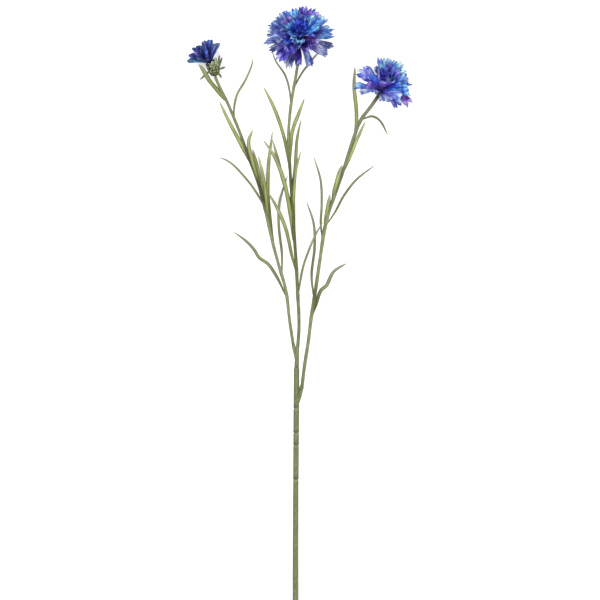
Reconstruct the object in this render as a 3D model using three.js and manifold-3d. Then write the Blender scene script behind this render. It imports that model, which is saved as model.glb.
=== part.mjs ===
// Cornflower spray: one cut stem that forks into three leafy branches, with an open bloom on the
// middle and right branches and a half-open bud on the left one. It lies on a flat surface, on
// the end of its stem, the lowest petals of the right bloom and the lowest florets of the bud.
// Millimetres, +Z up, +Y along the stem towards the blooms.
import * as THREE from "three";
import { mergeVertices } from "three/addons/utils/BufferGeometryUtils.js";
import Module from "manifold-3d";

const wasm = await Module();
wasm.setup();

// ---- Driving dimensions ----

// Places are drawn on a sheet in millimetres, x to the right and y down from its top edge, with
// the height z above the surface. This point of the sheet lies over the part's origin.
const SHEET_ORIGIN = { x: 301.45, y: 306.3 };

const STEM_RADIUS = 2.4;
const SLEEVE_RADIUS = 2.55;
const GROOVE_RADIUS = 2.15;
const GROOVE_HALF = 0.9;
const STEM_SIDES = 10;
const BRANCH_SIDES = 7;
const BRANCH_STATION = 15;

const LEAF_THICKNESS = 0.9;
const LEAF_FOLD = 0.12;
const LEAF_SPREAD = 1.45;
const LEAF_TAPER_FROM = 0.55;

const PETAL_THICKNESS = 0.7;
const PETAL_ROOT_HALF_WIDTH = 0.8;
const FAN_FULL = 0.85;
const FAN_POWER = 2;
const SHOULDER = 0.1;
// How deep the notches of a floret are, as a share of its length, and how far its roll strays.
const NOTCH = { least: 0.06, most: 0.17 };
const ROLL_STRAY = 15;
const PETAL_ROWS = [0, 0.52, 1];
const TUBE_SIDES = 5;
const SURFACE_WIDTH = 700;
const SURFACE_DEPTH = 40;

// ---- Small helpers ----

const radians = THREE.MathUtils.degToRad;

function at(x, y, z) {
  return new THREE.Vector3(x - SHEET_ORIGIN.x, SHEET_ORIGIN.y - y, z);
}

// A repeatable draw between 0 and 1.
function draw(seed) {
  const s = Math.sin(seed * 12.9898) * 43758.5453;
  return s - Math.floor(s);
}

function between(seed, low, high) {
  return low + (high - low) * draw(seed);
}

function blend(a, b, t) {
  return a + (b - a) * THREE.MathUtils.clamp(t, 0, 1);
}

function curveThrough(points) {
  return new THREE.CatmullRomCurve3(points, false, "centripetal");
}

// ---- Solids ----

function solidOf(geometry) {
  geometry.deleteAttribute("normal");
  geometry.deleteAttribute("uv");
  const merged = mergeVertices(geometry, 1e-4);
  return new wasm.Manifold(
    new wasm.Mesh({
      numProp: 3,
      vertProperties: merged.attributes.position.array,
      triVerts: new Uint32Array(merged.index.array),
    }),
  );
}

function solidFrom(points, triangles) {
  const geometry = new THREE.BufferGeometry().setFromPoints(points);
  geometry.setIndex(triangles.flat());
  return solidOf(geometry);
}

// Joins pieces into one body. A hollow that the joining seals is filled.
function fuse(pieces) {
  const joined = pieces.reduce((whole, piece) => whole.add(piece));
  const bodies = joined.decompose();
  return bodies.reduce((most, body) => (body.volume() > most.volume() ? body : most));
}

function meshOf(name, solid, material) {
  const { numProp, vertProperties, triVerts } = solid.getMesh();
  const positions = new Float32Array((vertProperties.length / numProp) * 3);
  for (let i = 0; i < positions.length / 3; i++) {
    positions.set(vertProperties.subarray(i * numProp, i * numProp + 3), i * 3);
  }
  const geometry = new THREE.BufferGeometry();
  geometry.setAttribute("position", new THREE.BufferAttribute(positions, 3));
  geometry.setIndex(new THREE.BufferAttribute(new Uint32Array(triVerts), 1));
  geometry.computeVertexNormals();
  const mesh = new THREE.Mesh(geometry, material);
  mesh.name = name;
  return mesh;
}

// A closed skin over rings of points, with a fan to a point at each end.
function loft(rings, startPoint, endPoint) {
  const sides = rings[0].length;
  const points = [...rings.flat(), startPoint, endPoint];
  const start = rings.length * sides;
  const end = start + 1;
  const triangles = [];
  for (let i = 0; i < sides; i++) {
    const j = (i + 1) % sides;
    for (let r = 0; r + 1 < rings.length; r++) {
      const low = r * sides;
      const high = low + sides;
      triangles.push([low + i, low + j, high + j], [low + i, high + j, high + i]);
    }
    const last = (rings.length - 1) * sides;
    triangles.push([start, j, i], [end, last + i, last + j]);
  }
  return solidFrom(points, triangles);
}

// A round bar along a curve. radiusAt takes the share of the way along it.
function bar(curve, stations, radiusAt, sides) {
  const frames = curve.computeFrenetFrames(stations, false);
  const rings = [];
  for (let k = 0; k <= stations; k++) {
    const share = k / stations;
    const centre = curve.getPointAt(share);
    const ring = [];
    for (let i = 0; i < sides; i++) {
      const angle = ((i + 0.5) / sides) * 2 * Math.PI;
      ring.push(
        centre
          .clone()
          .addScaledVector(frames.normals[k], radiusAt(share) * Math.cos(angle))
          .addScaledVector(frames.binormals[k], radiusAt(share) * Math.sin(angle)),
      );
    }
    rings.push(ring);
  }
  return loft(rings, curve.getPointAt(0), curve.getPointAt(1));
}

// A turned body about an axis: profile is a list of [distance along the axis, radius].
function turned(base, axis, profile, sides) {
  const { ex, ey } = across(axis);
  const rings = profile.map(([along, radius]) => {
    const ring = [];
    for (let i = 0; i < sides; i++) {
      const angle = (i / sides) * 2 * Math.PI;
      ring.push(
        base
          .clone()
          .addScaledVector(axis, along)
          .addScaledVector(ex, radius * Math.cos(angle))
          .addScaledVector(ey, radius * Math.sin(angle)),
      );
    }
    return ring;
  });
  const first = base.clone().addScaledVector(axis, profile[0][0]);
  const last = base.clone().addScaledVector(axis, profile[profile.length - 1][0]);
  return loft(rings, first, last);
}

// Two directions square to an axis: ex lies level, ey completes a right-handed set.
function across(axis) {
  const level = new THREE.Vector3(-axis.y, axis.x, 0);
  const ex = Math.abs(axis.z) > 0.7 ? new THREE.Vector3(1, 0, 0) : level;
  ex.addScaledVector(axis, -ex.dot(axis)).normalize();
  return { ex, ey: axis.clone().cross(ex) };
}

// ---- Stems and leaves ----

function branchBar(points, radiusLow, radiusHigh) {
  const curve = curveThrough(points.map(([x, y, z]) => at(x, y, z)));
  const stations = Math.round(curve.getLength() / BRANCH_STATION);
  return { curve, solid: bar(curve, stations, (t) => blend(radiusLow, radiusHigh, t), BRANCH_SIDES) };
}

// Height of a branch's middle line beside a point of the sheet.
function heightOn(curve, x, y) {
  const target = at(x, y, 0);
  let best = Infinity;
  let height = 0;
  for (const p of curve.getPoints(200)) {
    const distance = Math.hypot(p.x - target.x, p.y - target.y);
    if (distance < best) {
      best = distance;
      height = p.z;
    }
  }
  return height;
}

// Width of a leaf at a share of the way from its root to its tip.
function leafWidth(width, share) {
  const swell = 0.5 + 0.5 * Math.min(1, share / 0.25);
  const pointing = Math.max(0, (share - LEAF_TAPER_FROM) / (1 - LEAF_TAPER_FROM));
  return LEAF_SPREAD * width * swell * Math.max(Math.sqrt(1 - pointing ** 2), 0.06);
}

// A narrow leaf: path runs from its tip to the middle of the branch, drawn on the sheet.
function leaf(branch, { path, width, tipZ, turn = 0 }) {
  const [rootX, rootY] = path[path.length - 1];
  const rootZ = heightOn(branch, rootX, rootY);
  const fromRoot = [...path].reverse();
  const points = fromRoot.map(([x, y], i) => {
    const share = i / (path.length - 1);
    return at(x, y, blend(rootZ, tipZ, share ** 1.3));
  });
  const curve = curveThrough(points);
  const stations = path.length + 2;
  const rings = [];
  for (let k = 0; k < stations; k++) {
    const share = k / stations;
    const centre = curve.getPointAt(share);
    const along = curve.getTangentAt(share);
    const side = new THREE.Vector3(0, 0, 1).cross(along).normalize();
    const up = along.clone().cross(side);
    side.applyAxisAngle(along, radians(turn));
    up.applyAxisAngle(along, radians(turn));
    const half = leafWidth(width, share) / 2;
    const thin = (LEAF_THICKNESS / 2) * blend(1, 0.7, share);
    const point = (s, u) => centre.clone().addScaledVector(side, s).addScaledVector(up, u);
    rings.push([
      point(half, half * 2 * LEAF_FOLD),
      point(0, thin),
      point(-half, half * 2 * LEAF_FOLD),
      point(0, -thin),
    ]);
  }
  return loft(rings, curve.getPointAt(0), curve.getPointAt(1));
}

// Branches: [x, y, z] on the sheet, from the fork towards the head.
const LEFT_BRANCH = [
  [293.2, 344.6, 15.5],
  [289.5, 320, 17],
  [286, 291, 18.5],
  [279, 266, 19.5],
  [272, 240, 20],
  [266, 213, 20],
  [259, 186, 19.5],
  [248, 155, 18.5],
  [240, 133, 17.5],
  [228, 104, 16.6],
  [219.2, 86, 16.4],
  [215.1, 76.8, 16.5],
];
const MIDDLE_BRANCH = [
  [296.6, 366.7, 14.3],
  [297.5, 350, 15.2],
  [299, 325, 16.6],
  [297.5, 290, 18.4],
  [296, 260, 19.6],
  [294, 232, 20.6],
  [292, 200, 21.6],
  [290, 170, 22.2],
  [288.4, 140, 22.4],
  [290, 113, 21.8],
  [293, 92, 20.6],
  [297, 69, 19],
  [298.6, 53, 19.6],
  [299.1, 44.7, 23],
  [299.2, 42.8, 26.2],
];
const RIGHT_BRANCH = [
  [302.1, 385.4, 13.6],
  [304.5, 366, 14.8],
  [308.5, 340, 16.2],
  [311.3, 317, 17.5],
  [315.5, 290, 19],
  [319.5, 263, 20.6],
  [324.5, 230, 22.5],
  [329.5, 210, 23.8],
  [337, 189, 25],
  [345, 165, 26.4],
  [353, 140, 27.8],
  [361, 120, 29],
  [371, 106.5, 29.8],
  [377.55, 97, 29.98],
];

// Leaves: path from the tip to the root on the sheet, width, height of the tip.
const LEFT_LEAVES = [
  { path: [[199, 64.5], [203, 70], [209, 80.5], [216, 89], [225, 100]], width: 3.6, tipZ: 21, turn: 20 },
  { path: [[253.5, 57], [251.5, 66], [245, 81], [237, 95], [234, 110], [234.5, 121]], width: 1.7, tipZ: 26 },
  { path: [[219.3, 101], [228.5, 120], [239.5, 141], [251, 164]], width: 3, tipZ: 13, turn: -15 },
  { path: [[253, 129.5], [248.5, 142], [252, 160], [262, 194]], width: 3, tipZ: 24, turn: 15 },
  { path: [[252.5, 149], [258, 170], [265.5, 209]], width: 2.6, tipZ: 14 },
  { path: [[258.5, 156.5], [264, 182], [268.5, 224]], width: 2.4, tipZ: 25, turn: 10 },
  { path: [[272.5, 130.5], [268.5, 165], [268, 193], [271.5, 230], [274, 247]], width: 2.6, tipZ: 13 },
  { path: [[219, 157], [231, 163], [249, 182], [258, 195], [264, 206]], width: 2, tipZ: 26, turn: -20 },
  { path: [[287.6, 175], [279.5, 203], [278.8, 225], [281.9, 255], [281.8, 274]], width: 1.9, tipZ: 12 },
  {
    path: [[232.5, 231], [246, 241], [254, 249.5], [259, 257.5], [268, 264], [277, 277], [286.5, 297]],
    width: 2.4,
    tipZ: 27,
    turn: -15,
  },
];
const MIDDLE_LEAVES = [
  { path: [[271.5, 49], [275.5, 60.6], [285, 75], [289.5, 90], [290.7, 106]], width: 1.5, tipZ: 14 },
  { path: [[320, 50.5], [311, 61], [301, 74.5], [294.5, 87]], width: 1.5, tipZ: 14 },
  { path: [[263.5, 87], [274, 108], [284, 138], [289.3, 166]], width: 2.8, tipZ: 29, turn: 15 },
  { path: [[263, 140], [274, 156], [284, 181], [290.2, 212], [293.4, 240]], width: 2.9, tipZ: 30 },
  { path: [[272.5, 140], [278, 160], [283, 181], [292, 206]], width: 2.4, tipZ: 23.5, turn: 20 },
  { path: [[304.5, 98.5], [299, 113], [292.5, 132], [290, 160]], width: 2.8, tipZ: 27, turn: -10 },
  { path: [[301, 119], [297, 140], [295.6, 165], [293.5, 190], [294.5, 235]], width: 2.6, tipZ: 18 },
  { path: [[301, 151], [296, 170], [293.8, 195], [294, 226]], width: 2.2, tipZ: 29, turn: 15 },
  {
    path: [[268.5, 193], [278, 210], [286, 230], [291.5, 255], [296.3, 272]],
    width: 2.6,
    tipZ: 29,
    turn: 15,
  },
  { path: [[323, 222], [315.5, 235], [308, 253], [303, 268], [298, 295]], width: 1.8, tipZ: 29, turn: -15 },
];
const RIGHT_LEAVES = [
  { path: [[306.6, 201.5], [313.8, 224], [314.5, 248], [311.5, 275], [313.8, 298]], width: 1.9, tipZ: 13 },
  { path: [[313.5, 156], [320.5, 180], [321.6, 205], [320.7, 224], [322.7, 241]], width: 1.8, tipZ: 28 },
  { path: [[375, 165], [356, 180], [343, 197], [335, 212], [325.5, 226]], width: 1.8, tipZ: 17, turn: 20 },
  {
    path: [[347, 263], [333.5, 272], [326.5, 285.5], [321, 290.5], [316, 305], [311.5, 318]],
    width: 2.6,
    tipZ: 10,
    turn: -20,
  },
  { path: [[355, 67], [354, 86], [356.5, 113], [356, 127], [353.7, 138]], width: 2.8, tipZ: 18 },
  { path: [[387.8, 135], [380, 121], [372, 116.5], [361, 120]], width: 1.7, tipZ: 24, turn: 15 },
  { path: [[365.5, 121], [357, 140], [349, 160], [341.5, 176]], width: 2.4, tipZ: 36, turn: -15 },
  { path: [[341.8, 165], [337, 182], [332.4, 200]], width: 3.4, tipZ: 32, turn: -10 },
  { path: [[330, 194], [327.8, 207], [324.3, 230]], width: 2.8, tipZ: 30 },
];

// Ring joints of the sleeved stretch of the stem, as places on the sheet.
const STEM_LOW_Y = 608;
const STEM_TOP_Y = 367.2;
const STEM_RISE = 0.05;
const STEM_LOW_Z = 2.2;
const RINGS_Y = [480, 445.5, 433, 408.5];

function stemX(y) {
  return blend(296.6, 295.4, (y - STEM_TOP_Y) / 180);
}

function stemPoint(y) {
  return at(stemX(y), y, STEM_LOW_Z + (STEM_LOW_Y - y) * STEM_RISE);
}

function mainStem() {
  const places = [[STEM_LOW_Y, STEM_RADIUS]];
  for (const y of RINGS_Y) {
    const below = y === RINGS_Y[0] ? STEM_RADIUS : SLEEVE_RADIUS;
    places.push([y + GROOVE_HALF, below], [y, GROOVE_RADIUS], [y - GROOVE_HALF, SLEEVE_RADIUS]);
  }
  places.push([STEM_TOP_Y + GROOVE_HALF, SLEEVE_RADIUS], [STEM_TOP_Y, GROOVE_RADIUS]);
  const low = stemPoint(STEM_LOW_Y);
  const axis = stemPoint(STEM_TOP_Y).sub(low).normalize();
  const sideways = new THREE.Vector3(0, 0, 1).cross(axis).normalize();
  const up = axis.clone().cross(sideways);
  const rings = places.map(([y, radius]) => {
    const ring = [];
    for (let i = 0; i < STEM_SIDES; i++) {
      const angle = ((i + 0.5) / STEM_SIDES) * 2 * Math.PI;
      ring.push(
        stemPoint(y)
          .addScaledVector(sideways, radius * Math.cos(angle))
          .addScaledVector(up, radius * Math.sin(angle)),
      );
    }
    return ring;
  });
  const stem = loft(rings, low, stemPoint(STEM_TOP_Y));
  const socketCurve = curveThrough([at(297, 406, 12.4), at(299.6, 396.5, 12.9), at(302, 386, 13.5)]);
  const socket = bar(socketCurve, 3, (t) => blend(1.2, 2, t * 2), BRANCH_SIDES);
  return fuse([stem, socket]);
}

function leafyBranch(points, radiusLow, radiusHigh, leaves, extras = []) {
  const { curve, solid } = branchBar(points, radiusLow, radiusHigh);
  return fuse([solid, ...leaves.map((each) => leaf(curve, each)), ...extras]);
}

// The fork below the middle branch: a thicker foot and the socket of the left branch.
function forkPieces() {
  const foot = curveThrough([at(296.6, 366.7, 14.3), at(297, 357, 14.8), at(297.6, 346, 15.4)]);
  const socket = curveThrough([at(296.6, 362, 14.6), at(295, 353, 15), at(293.3, 345.2, 15.4)]);
  return [
    bar(foot, 3, (t) => blend(2.4, 1.8, t), BRANCH_SIDES),
    bar(socket, 3, (t) => blend(1.4, 1.9, t), BRANCH_SIDES),
  ];
}

// ---- Heads ----

// An axis by its heading from +X on the sheet and its lift off the surface, in degrees.
function levelAxis(heading, lift = 0) {
  const flat = Math.cos(radians(lift));
  const x = flat * Math.cos(radians(heading));
  const y = flat * Math.sin(radians(heading));
  return new THREE.Vector3(x, y, Math.sin(radians(lift)));
}

function headFrame(base, axis) {
  return { base, axis, ...across(axis) };
}

function towards(head, azimuth, polar) {
  const radial = head.ex
    .clone()
    .multiplyScalar(Math.cos(radians(azimuth)))
    .addScaledVector(head.ey, Math.sin(radians(azimuth)));
  return radial
    .multiplyScalar(Math.sin(radians(polar)))
    .addScaledVector(head.axis, Math.cos(radians(polar)));
}

// Share of a floret's full length at a place across it: 1 at the point of each lobe, less in
// the notches between them and least at the two shoulders.
function lobeReach(lobes, notch, across01) {
  const shoulder = SHOULDER * Math.abs(2 * across01 - 1) ** 4;
  return 1 - notch * Math.abs(Math.cos(Math.PI * lobes * across01)) - shoulder;
}

// Share of a floret's full width: a narrow tube that opens into a fan.
function fanWidth(share) {
  return Math.sin((Math.min(1, share / FAN_FULL) * Math.PI) / 2) ** FAN_POWER;
}

// One trumpet floret: a fan rolled about its midline, wide at its toothed rim.
function trumpet(head, ring, floret) {
  const { hub: along, rootRadius, bend } = ring;
  const { azimuth, polar, length, width, lobes, cup, seed } = floret;
  const root = head.base.clone().addScaledVector(head.axis, along);
  const hub = root.clone();
  root.add(towards(head, azimuth, 90).multiplyScalar(rootRadius));
  const knee = root.clone().add(towards(head, azimuth, polar - bend).multiplyScalar(length * 0.45));
  const tip = hub.add(towards(head, azimuth, polar).multiplyScalar(length));
  const midline = new THREE.QuadraticBezierCurve3(root, knee, tip);
  const side = towards(head, azimuth + 90, 90);
  const notch = between(seed + 0.3, NOTCH.least, NOTCH.most);
  const roll = floret.roll + between(seed + 0.6, -ROLL_STRAY, ROLL_STRAY);
  const columns = 2 * lobes;
  const middle = [];
  for (const row of PETAL_ROWS) {
    for (let c = 0; c <= columns; c++) {
      const across01 = c / columns;
      const reach = lobeReach(lobes, notch, across01);
      const share = row * blend(1, reach, row ** 3);
      const centre = midline.getPoint(share);
      const tangent = midline.getTangent(share);
      const s = side.clone().applyAxisAngle(tangent, radians(roll * blend(0.4, 1, share)));
      const n = tangent.clone().cross(s);
      const half = blend(PETAL_ROOT_HALF_WIDTH, width / 2, fanWidth(share));
      const arc = radians(cup);
      const angle = arc * (2 * across01 - 1);
      const flick = c % 2 ? between(seed + c, -0.05, 0.08) * length * row ** 3 : 0;
      middle.push(
        centre
          .addScaledVector(s, (half / arc) * Math.sin(angle))
          .addScaledVector(n, (half / arc) * (1 - Math.cos(angle)) - flick),
      );
    }
  }
  return sheetSolid(middle, PETAL_ROWS.length, columns + 1, PETAL_THICKNESS);
}

// A closed solid of even thickness about a grid of points.
function sheetSolid(grid, rows, columns, thickness) {
  const point = (r, c) => grid[r * columns + c];
  const step = (v, limit) => THREE.MathUtils.clamp(v, 0, limit - 1);
  const front = [];
  const back = [];
  for (let r = 0; r < rows; r++) {
    for (let c = 0; c < columns; c++) {
      const alongRow = point(r, step(c + 1, columns)).clone().sub(point(r, step(c - 1, columns)));
      const alongColumn = point(step(r + 1, rows), c).clone().sub(point(step(r - 1, rows), c));
      const normal = alongRow.cross(alongColumn).normalize();
      front.push(point(r, c).clone().addScaledVector(normal, thickness / 2));
      back.push(point(r, c).clone().addScaledVector(normal, -thickness / 2));
    }
  }
  const offset = grid.length;
  const triangles = [];
  for (let r = 0; r + 1 < rows; r++) {
    for (let c = 0; c + 1 < columns; c++) {
      const a = r * columns + c;
      const b = a + 1;
      const d = a + columns;
      const e = d + 1;
      const split = c % 2 ? [[a, b, d], [b, e, d]] : [[a, b, e], [a, e, d]];
      for (const [i, j, k] of split) {
        triangles.push([i, j, k], [i + offset, k + offset, j + offset]);
      }
    }
  }
  const rim = [];
  for (let c = 0; c < columns; c++) rim.push(c);
  for (let r = 1; r < rows; r++) rim.push(r * columns + columns - 1);
  for (let c = columns - 2; c >= 0; c--) rim.push((rows - 1) * columns + c);
  for (let r = rows - 2; r > 0; r--) rim.push(r * columns);
  rim.forEach((i, k) => {
    const j = rim[(k + 1) % rim.length];
    triangles.push([j, i, i + offset], [j, i + offset, j + offset]);
  });
  return solidFrom([...front, ...back], triangles);
}

// A slim closed floret with a rounded end, from the head's hub.
function tubeFloret(head, along, { azimuth, polar, length, radius, bend = 12, spread = 0.6 }) {
  const hub = head.base.clone().addScaledVector(head.axis, along);
  const root = hub.clone().add(towards(head, azimuth, 90).multiplyScalar(spread));
  const knee = root.clone().add(towards(head, azimuth, polar - bend).multiplyScalar(length * 0.5));
  const tip = hub.clone().add(towards(head, azimuth, polar).multiplyScalar(length));
  const curve = new THREE.QuadraticBezierCurve3(root, knee, tip);
  const side = towards(head, azimuth + 90, 90);
  const rings = [[0, 0.5], [0.55, 0.75], [0.9, 1]].map(([share, size]) => {
    const centre = curve.getPoint(share);
    const up = curve.getTangent(share).cross(side);
    const ring = [];
    for (let i = 0; i < TUBE_SIDES; i++) {
      const angle = (i / TUBE_SIDES) * 2 * Math.PI;
      ring.push(
        centre
          .clone()
          .addScaledVector(side, radius * size * Math.cos(angle))
          .addScaledVector(up, radius * size * Math.sin(angle)),
      );
    }
    return ring;
  });
  return loft(rings, curve.getPoint(0), curve.getPoint(1));
}

const MIDDLE_HEAD = headFrame(at(299.2, 42.4, 26.6), new THREE.Vector3(0.03, 0.37, 0.93).normalize());
const RIGHT_HEAD = headFrame(at(377.8, 96.5, 30), levelAxis(60, 9));
const BUD_HEAD = headFrame(at(215, 76.1, 16.6), levelAxis(101));
const BUD_FAN = headFrame(at(209.6, 61.4, 16.6), levelAxis(123));

// Trumpet florets: [azimuth, angle off the axis, length, width at the rim, lobes, roll, cup].
const MIDDLE_OUTER = [
  [186, 88, 36.5, 8, 3, 0, 70],
  [171, 80, 35.5, 14, 4, 0, 55],
  [151, 86, 36, 14, 4, 20, 60],
  [131, 80, 36, 15, 4, -15, 75],
  [108, 85, 35, 18, 5, 0, 50],
  [85, 78, 37, 13, 3, 25, 75],
  [61, 84, 37, 17, 4, 0, 60],
  [37, 79, 37, 16, 4, -20, 60],
  [13, 84, 36, 17, 4, 0, 55],
  [-12, 88, 36, 9, 3, 20, 70],
  [-31, 84, 33.5, 13, 3, 0, 60],
  [-70, 86, 33, 11, 3, -25, 75],
  [-92, 78, 32, 10, 3, 0, 80],
  [-111, 88, 34, 13, 4, 25, 65],
  [-131, 80, 35, 16, 4, 0, 70],
  [-158, 88, 34, 9, 3, -20, 65],
];
const MIDDLE_INNER = [
  [-157, 58, 26, 14, 4, 0, 100],
  [168, 54, 26, 13, 4, 0, 70],
  [133, 56, 28, 15, 4, -15, 60],
  [103, 56, 27, 15, 4, 10, 60],
  [74, 56, 26, 12, 3, 20, 75],
  [94, 34, 24, 15, 4, 0, 80],
  [128, 36, 20, 11, 3, 0, 90],
  [60, 34, 21, 11, 3, 0, 90],
  [33, 54, 29, 19, 5, 0, 45],
  [5, 62, 28, 14, 4, 0, 65],
  [-22, 62, 25, 12, 4, 0, 75],
  [-66, 62, 25, 12, 3, 15, 70],
  [-118, 62, 29, 16, 4, 0, 60],
  [-38, 48, 17, 11, 3, 0, 100],
  [-165, 42, 16, 9, 2, 0, 110],
  [-122, 48, 17, 11, 2, 0, 110],
  [-80, 44, 15, 10, 2, 0, 110],
  [2, 42, 16, 10, 2, 0, 110],
];
const RIGHT_OUTER = [
  [19, 69, 34, 17, 4, 75, 55],
  [10, 108, 29, 8, 3, 85, 60],
  [-28, 120, 25, 10, 3, 70, 60],
  [46, 68, 27, 14, 3, 50, 80],
  [34, 88, 19, 12, 3, 70, 80],
  [76, 58, 29, 18, 5, 15, 60],
  [138, 80, 31, 17, 5, -60, 55],
  [150, 61, 34, 16, 4, -70, 60],
  [172, 82, 34, 14, 4, -70, 60],
  [-160, 96, 28, 12, 3, -75, 65],
  [-172, 108, 24, 6, 2, -80, 65],
  [-135, 62, 32, 15, 3, -40, 60],
  [-90, 80, 34.2, 14, 3, 0, 60],
  [-48, 76, 34, 14, 3, 50, 60],
  [-12, 84, 31, 12, 3, 80, 60],
  [125, 124, 13, 9, 2, 40, 50],
  [146, 102, 16, 10, 3, 50, 50],
  [62, 106, 12, 9, 2, 0, 50],
];
const RIGHT_INNER = [
  [31, 50, 28, 7, 2, 60, 70],
  [44, 33, 37, 17, 5, 50, 45],
  [66, 40, 25, 15, 4, 35, 70],
  [-95, 22, 34, 15, 4, 0, 60],
  [120, 30, 30, 12, 3, -35, 75],
  [145, 42, 34, 20, 5, -55, 45],
  [112, 38, 24, 14, 4, -30, 70],
  [-50, 46, 31, 14, 3, 0, 60],
  [-120, 44, 32, 15, 4, 0, 60],
];

const BLOOM_CUP = [[0, 1.6], [1.2, 2.4], [3.2, 2.7], [4, 2.4]];
const OUTER_RING = {
  core: [[4.4, 3.6], [5.4, 4.2], [6.4, 3.6]],
  hub: 5.4,
  rootRadius: 1.8,
  bend: 8,
};
const INNER_RING = {
  core: [[7.2, 1.9], [8.7, 2.9], [10.2, 2.2]],
  hub: 8.8,
  rootRadius: 2,
  bend: 14,
};
// Florets of the tuft in the middle of a bloom: [azimuth, angle off the axis, length, radius].
const MIDDLE_HEART = [
  [90, 18, 15, 1.3],
  [35, 18, 14, 1.2],
  [145, 18, 14, 1.2],
  [-145, 17, 12, 1.3],
  [-90, 15, 11, 1.3],
  [-35, 18, 12, 1.2],
];
const RIGHT_HEART = [
  [80, 16, 14, 1.2],
  [150, 16, 13, 1.2],
  [-110, 14, 14, 1.2],
  [-20, 16, 12, 1.2],
  [30, 18, 14, 1.2],
];
const HEART_CORE = [[10.6, 1.4], [11.4, 1.6], [12.6, 1.2]];
const HEART_HUB = 11.2;

function petalRing(head, ring, florets, firstSeed) {
  const core = turned(head.base, head.axis, ring.core, 10);
  const blades = florets.map(([azimuth, polar, length, width, lobes, roll, cup], i) =>
    trumpet(head, ring, { azimuth, polar, length, width, lobes, roll, cup, seed: firstSeed + i * 7 }),
  );
  return fuse([core, ...blades]);
}

function heart(head, florets) {
  const core = turned(head.base, head.axis, HEART_CORE, 8);
  const tubes = florets.map(([azimuth, polar, length, radius]) =>
    tubeFloret(head, HEART_HUB, { azimuth, polar, length, radius }),
  );
  return fuse([core, ...tubes]);
}

// ---- Bud ----

const CALYX_PROFILE = [[0, 1.6], [1.2, 3.1], [4, 4.9], [7.6, 5.6], [11, 5], [13, 4.3]];
const BUD_CORE = [[13.4, 3.6], [14.8, 3.8], [16.8, 2.8]];
const SCALE_ROWS = [
  { along: 2, count: 6, radius: 3.6, length: 6.5, lean: 14 },
  { along: 4.6, count: 6, radius: 4.7, length: 7.5, lean: 4 },
  { along: 7.6, count: 8, radius: 5.1, length: 8, lean: -4 },
];
// How much further the scales reach on the side away from the florets.
const SCALE_SKEW = 0.42;
const SCALE_SECTION = { width: 4, thick: 0.6 };
const BRACT_SECTION = { width: 3, thick: 1.1 };
const ROOT_SINK = 0.4;
const FREE_BRACTS = [
  { azimuth: 175, along: 9, radius: 5, length: 11.5, lean: 17 },
  { azimuth: 186, along: 8, radius: 5.2, length: 10.5, lean: 30 },
  { azimuth: 176, along: 6, radius: 5, length: 7, lean: 82 },
  { azimuth: 178, along: 2.8, radius: 3.8, length: 6, lean: 158 },
  { azimuth: -4, along: 5.6, radius: 5, length: 12.5, lean: 120 },
];

const BUD_RINGS = [
  { count: 11, polar: 60, length: 22.5 },
  { count: 9, polar: 40, length: 23 },
  { count: 5, polar: 20, length: 22 },
];
const BUD_RADIUS = 2.1;

// A pointed scale from the calyx wall, leaning off the axis by lean degrees.
function bract(head, { azimuth, along, radius, length, lean, width, thick }) {
  const out = towards(head, azimuth, 90);
  const side = towards(head, azimuth + 90, 90);
  const heading = towards(head, azimuth, lean);
  const root = head.base.clone().addScaledVector(head.axis, along).addScaledVector(out, radius);
  const outward = heading.clone().cross(side).multiplyScalar(-1);
  const rings = [[0, 0.8], [0.5, 1]].map(([share, size]) => {
    const centre = root.clone().addScaledVector(heading, length * share);
    const point = (s, o) => centre.clone().addScaledVector(side, s).addScaledVector(outward, o);
    const half = (width / 2) * size;
    return [point(half, 0), point(0, -thick), point(-half, 0), point(0, thick)];
  });
  const tip = root.clone().addScaledVector(heading, length);
  return loft(rings, root.clone().addScaledVector(heading, -ROOT_SINK), tip);
}

function budCalyx(head) {
  const pieces = [turned(head.base, head.axis, CALYX_PROFILE, 12)];
  SCALE_ROWS.forEach(({ count, length, ...scale }, row) => {
    for (let i = 0; i < count; i++) {
      const azimuth = ((i + row / 2) / count) * 360;
      const reach = length * (1 - (SCALE_SKEW * Math.cos(radians(azimuth)) * row) / 2);
      pieces.push(bract(head, { ...scale, ...SCALE_SECTION, azimuth, length: reach }));
    }
  });
  for (const each of FREE_BRACTS) pieces.push(bract(head, { ...each, ...BRACT_SECTION }));
  return fuse(pieces);
}

function budFlorets(head, fan) {
  const core = turned(head.base, head.axis, BUD_CORE, 10);
  const florets = [];
  BUD_RINGS.forEach(({ count, polar, length }, ring) => {
    for (let i = 0; i < count; i++) {
      const seed = 300 + ring * 50 + i;
      florets.push({
        azimuth: ((i + ring * 0.4) / count) * 360,
        polar: polar + between(seed, -5, 5),
        length: length + between(seed + 0.5, -2, 1),
        radius: BUD_RADIUS,
        spread: 1.8,
      });
    }
  });
  return fuse([core, ...florets.map((each) => tubeFloret(fan, 0, each))]);
}

// ---- Assembly ----

// Cuts off what would reach below the surface, which leaves small flat spots to rest on.
function restOnSurface(solid) {
  const slab = new THREE.BoxGeometry(SURFACE_WIDTH, SURFACE_WIDTH, SURFACE_DEPTH);
  slab.translate(0, 0, -SURFACE_DEPTH / 2);
  return solid.subtract(solidOf(slab));
}

function finish(color, roughness) {
  return new THREE.MeshStandardMaterial({ color, roughness, metalness: 0 });
}

const STEM_GREEN = finish(0x7f8a5c, 0.75);
const LEAF_GREEN = finish(0x8b9563, 0.75);
const CALYX_GREEN = finish(0x7f8d66, 0.8);
const DARK_GREEN = finish(0x4d5138, 0.75);
const VIOLET = finish(0x6b5fc4, 0.7);
const SKY_BLUE = finish(0x4f83dc, 0.7);
const ROYAL_BLUE = finish(0x3546b8, 0.7);
const NAVY = finish(0x232a86, 0.65);

const spray = new THREE.Group();

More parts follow.
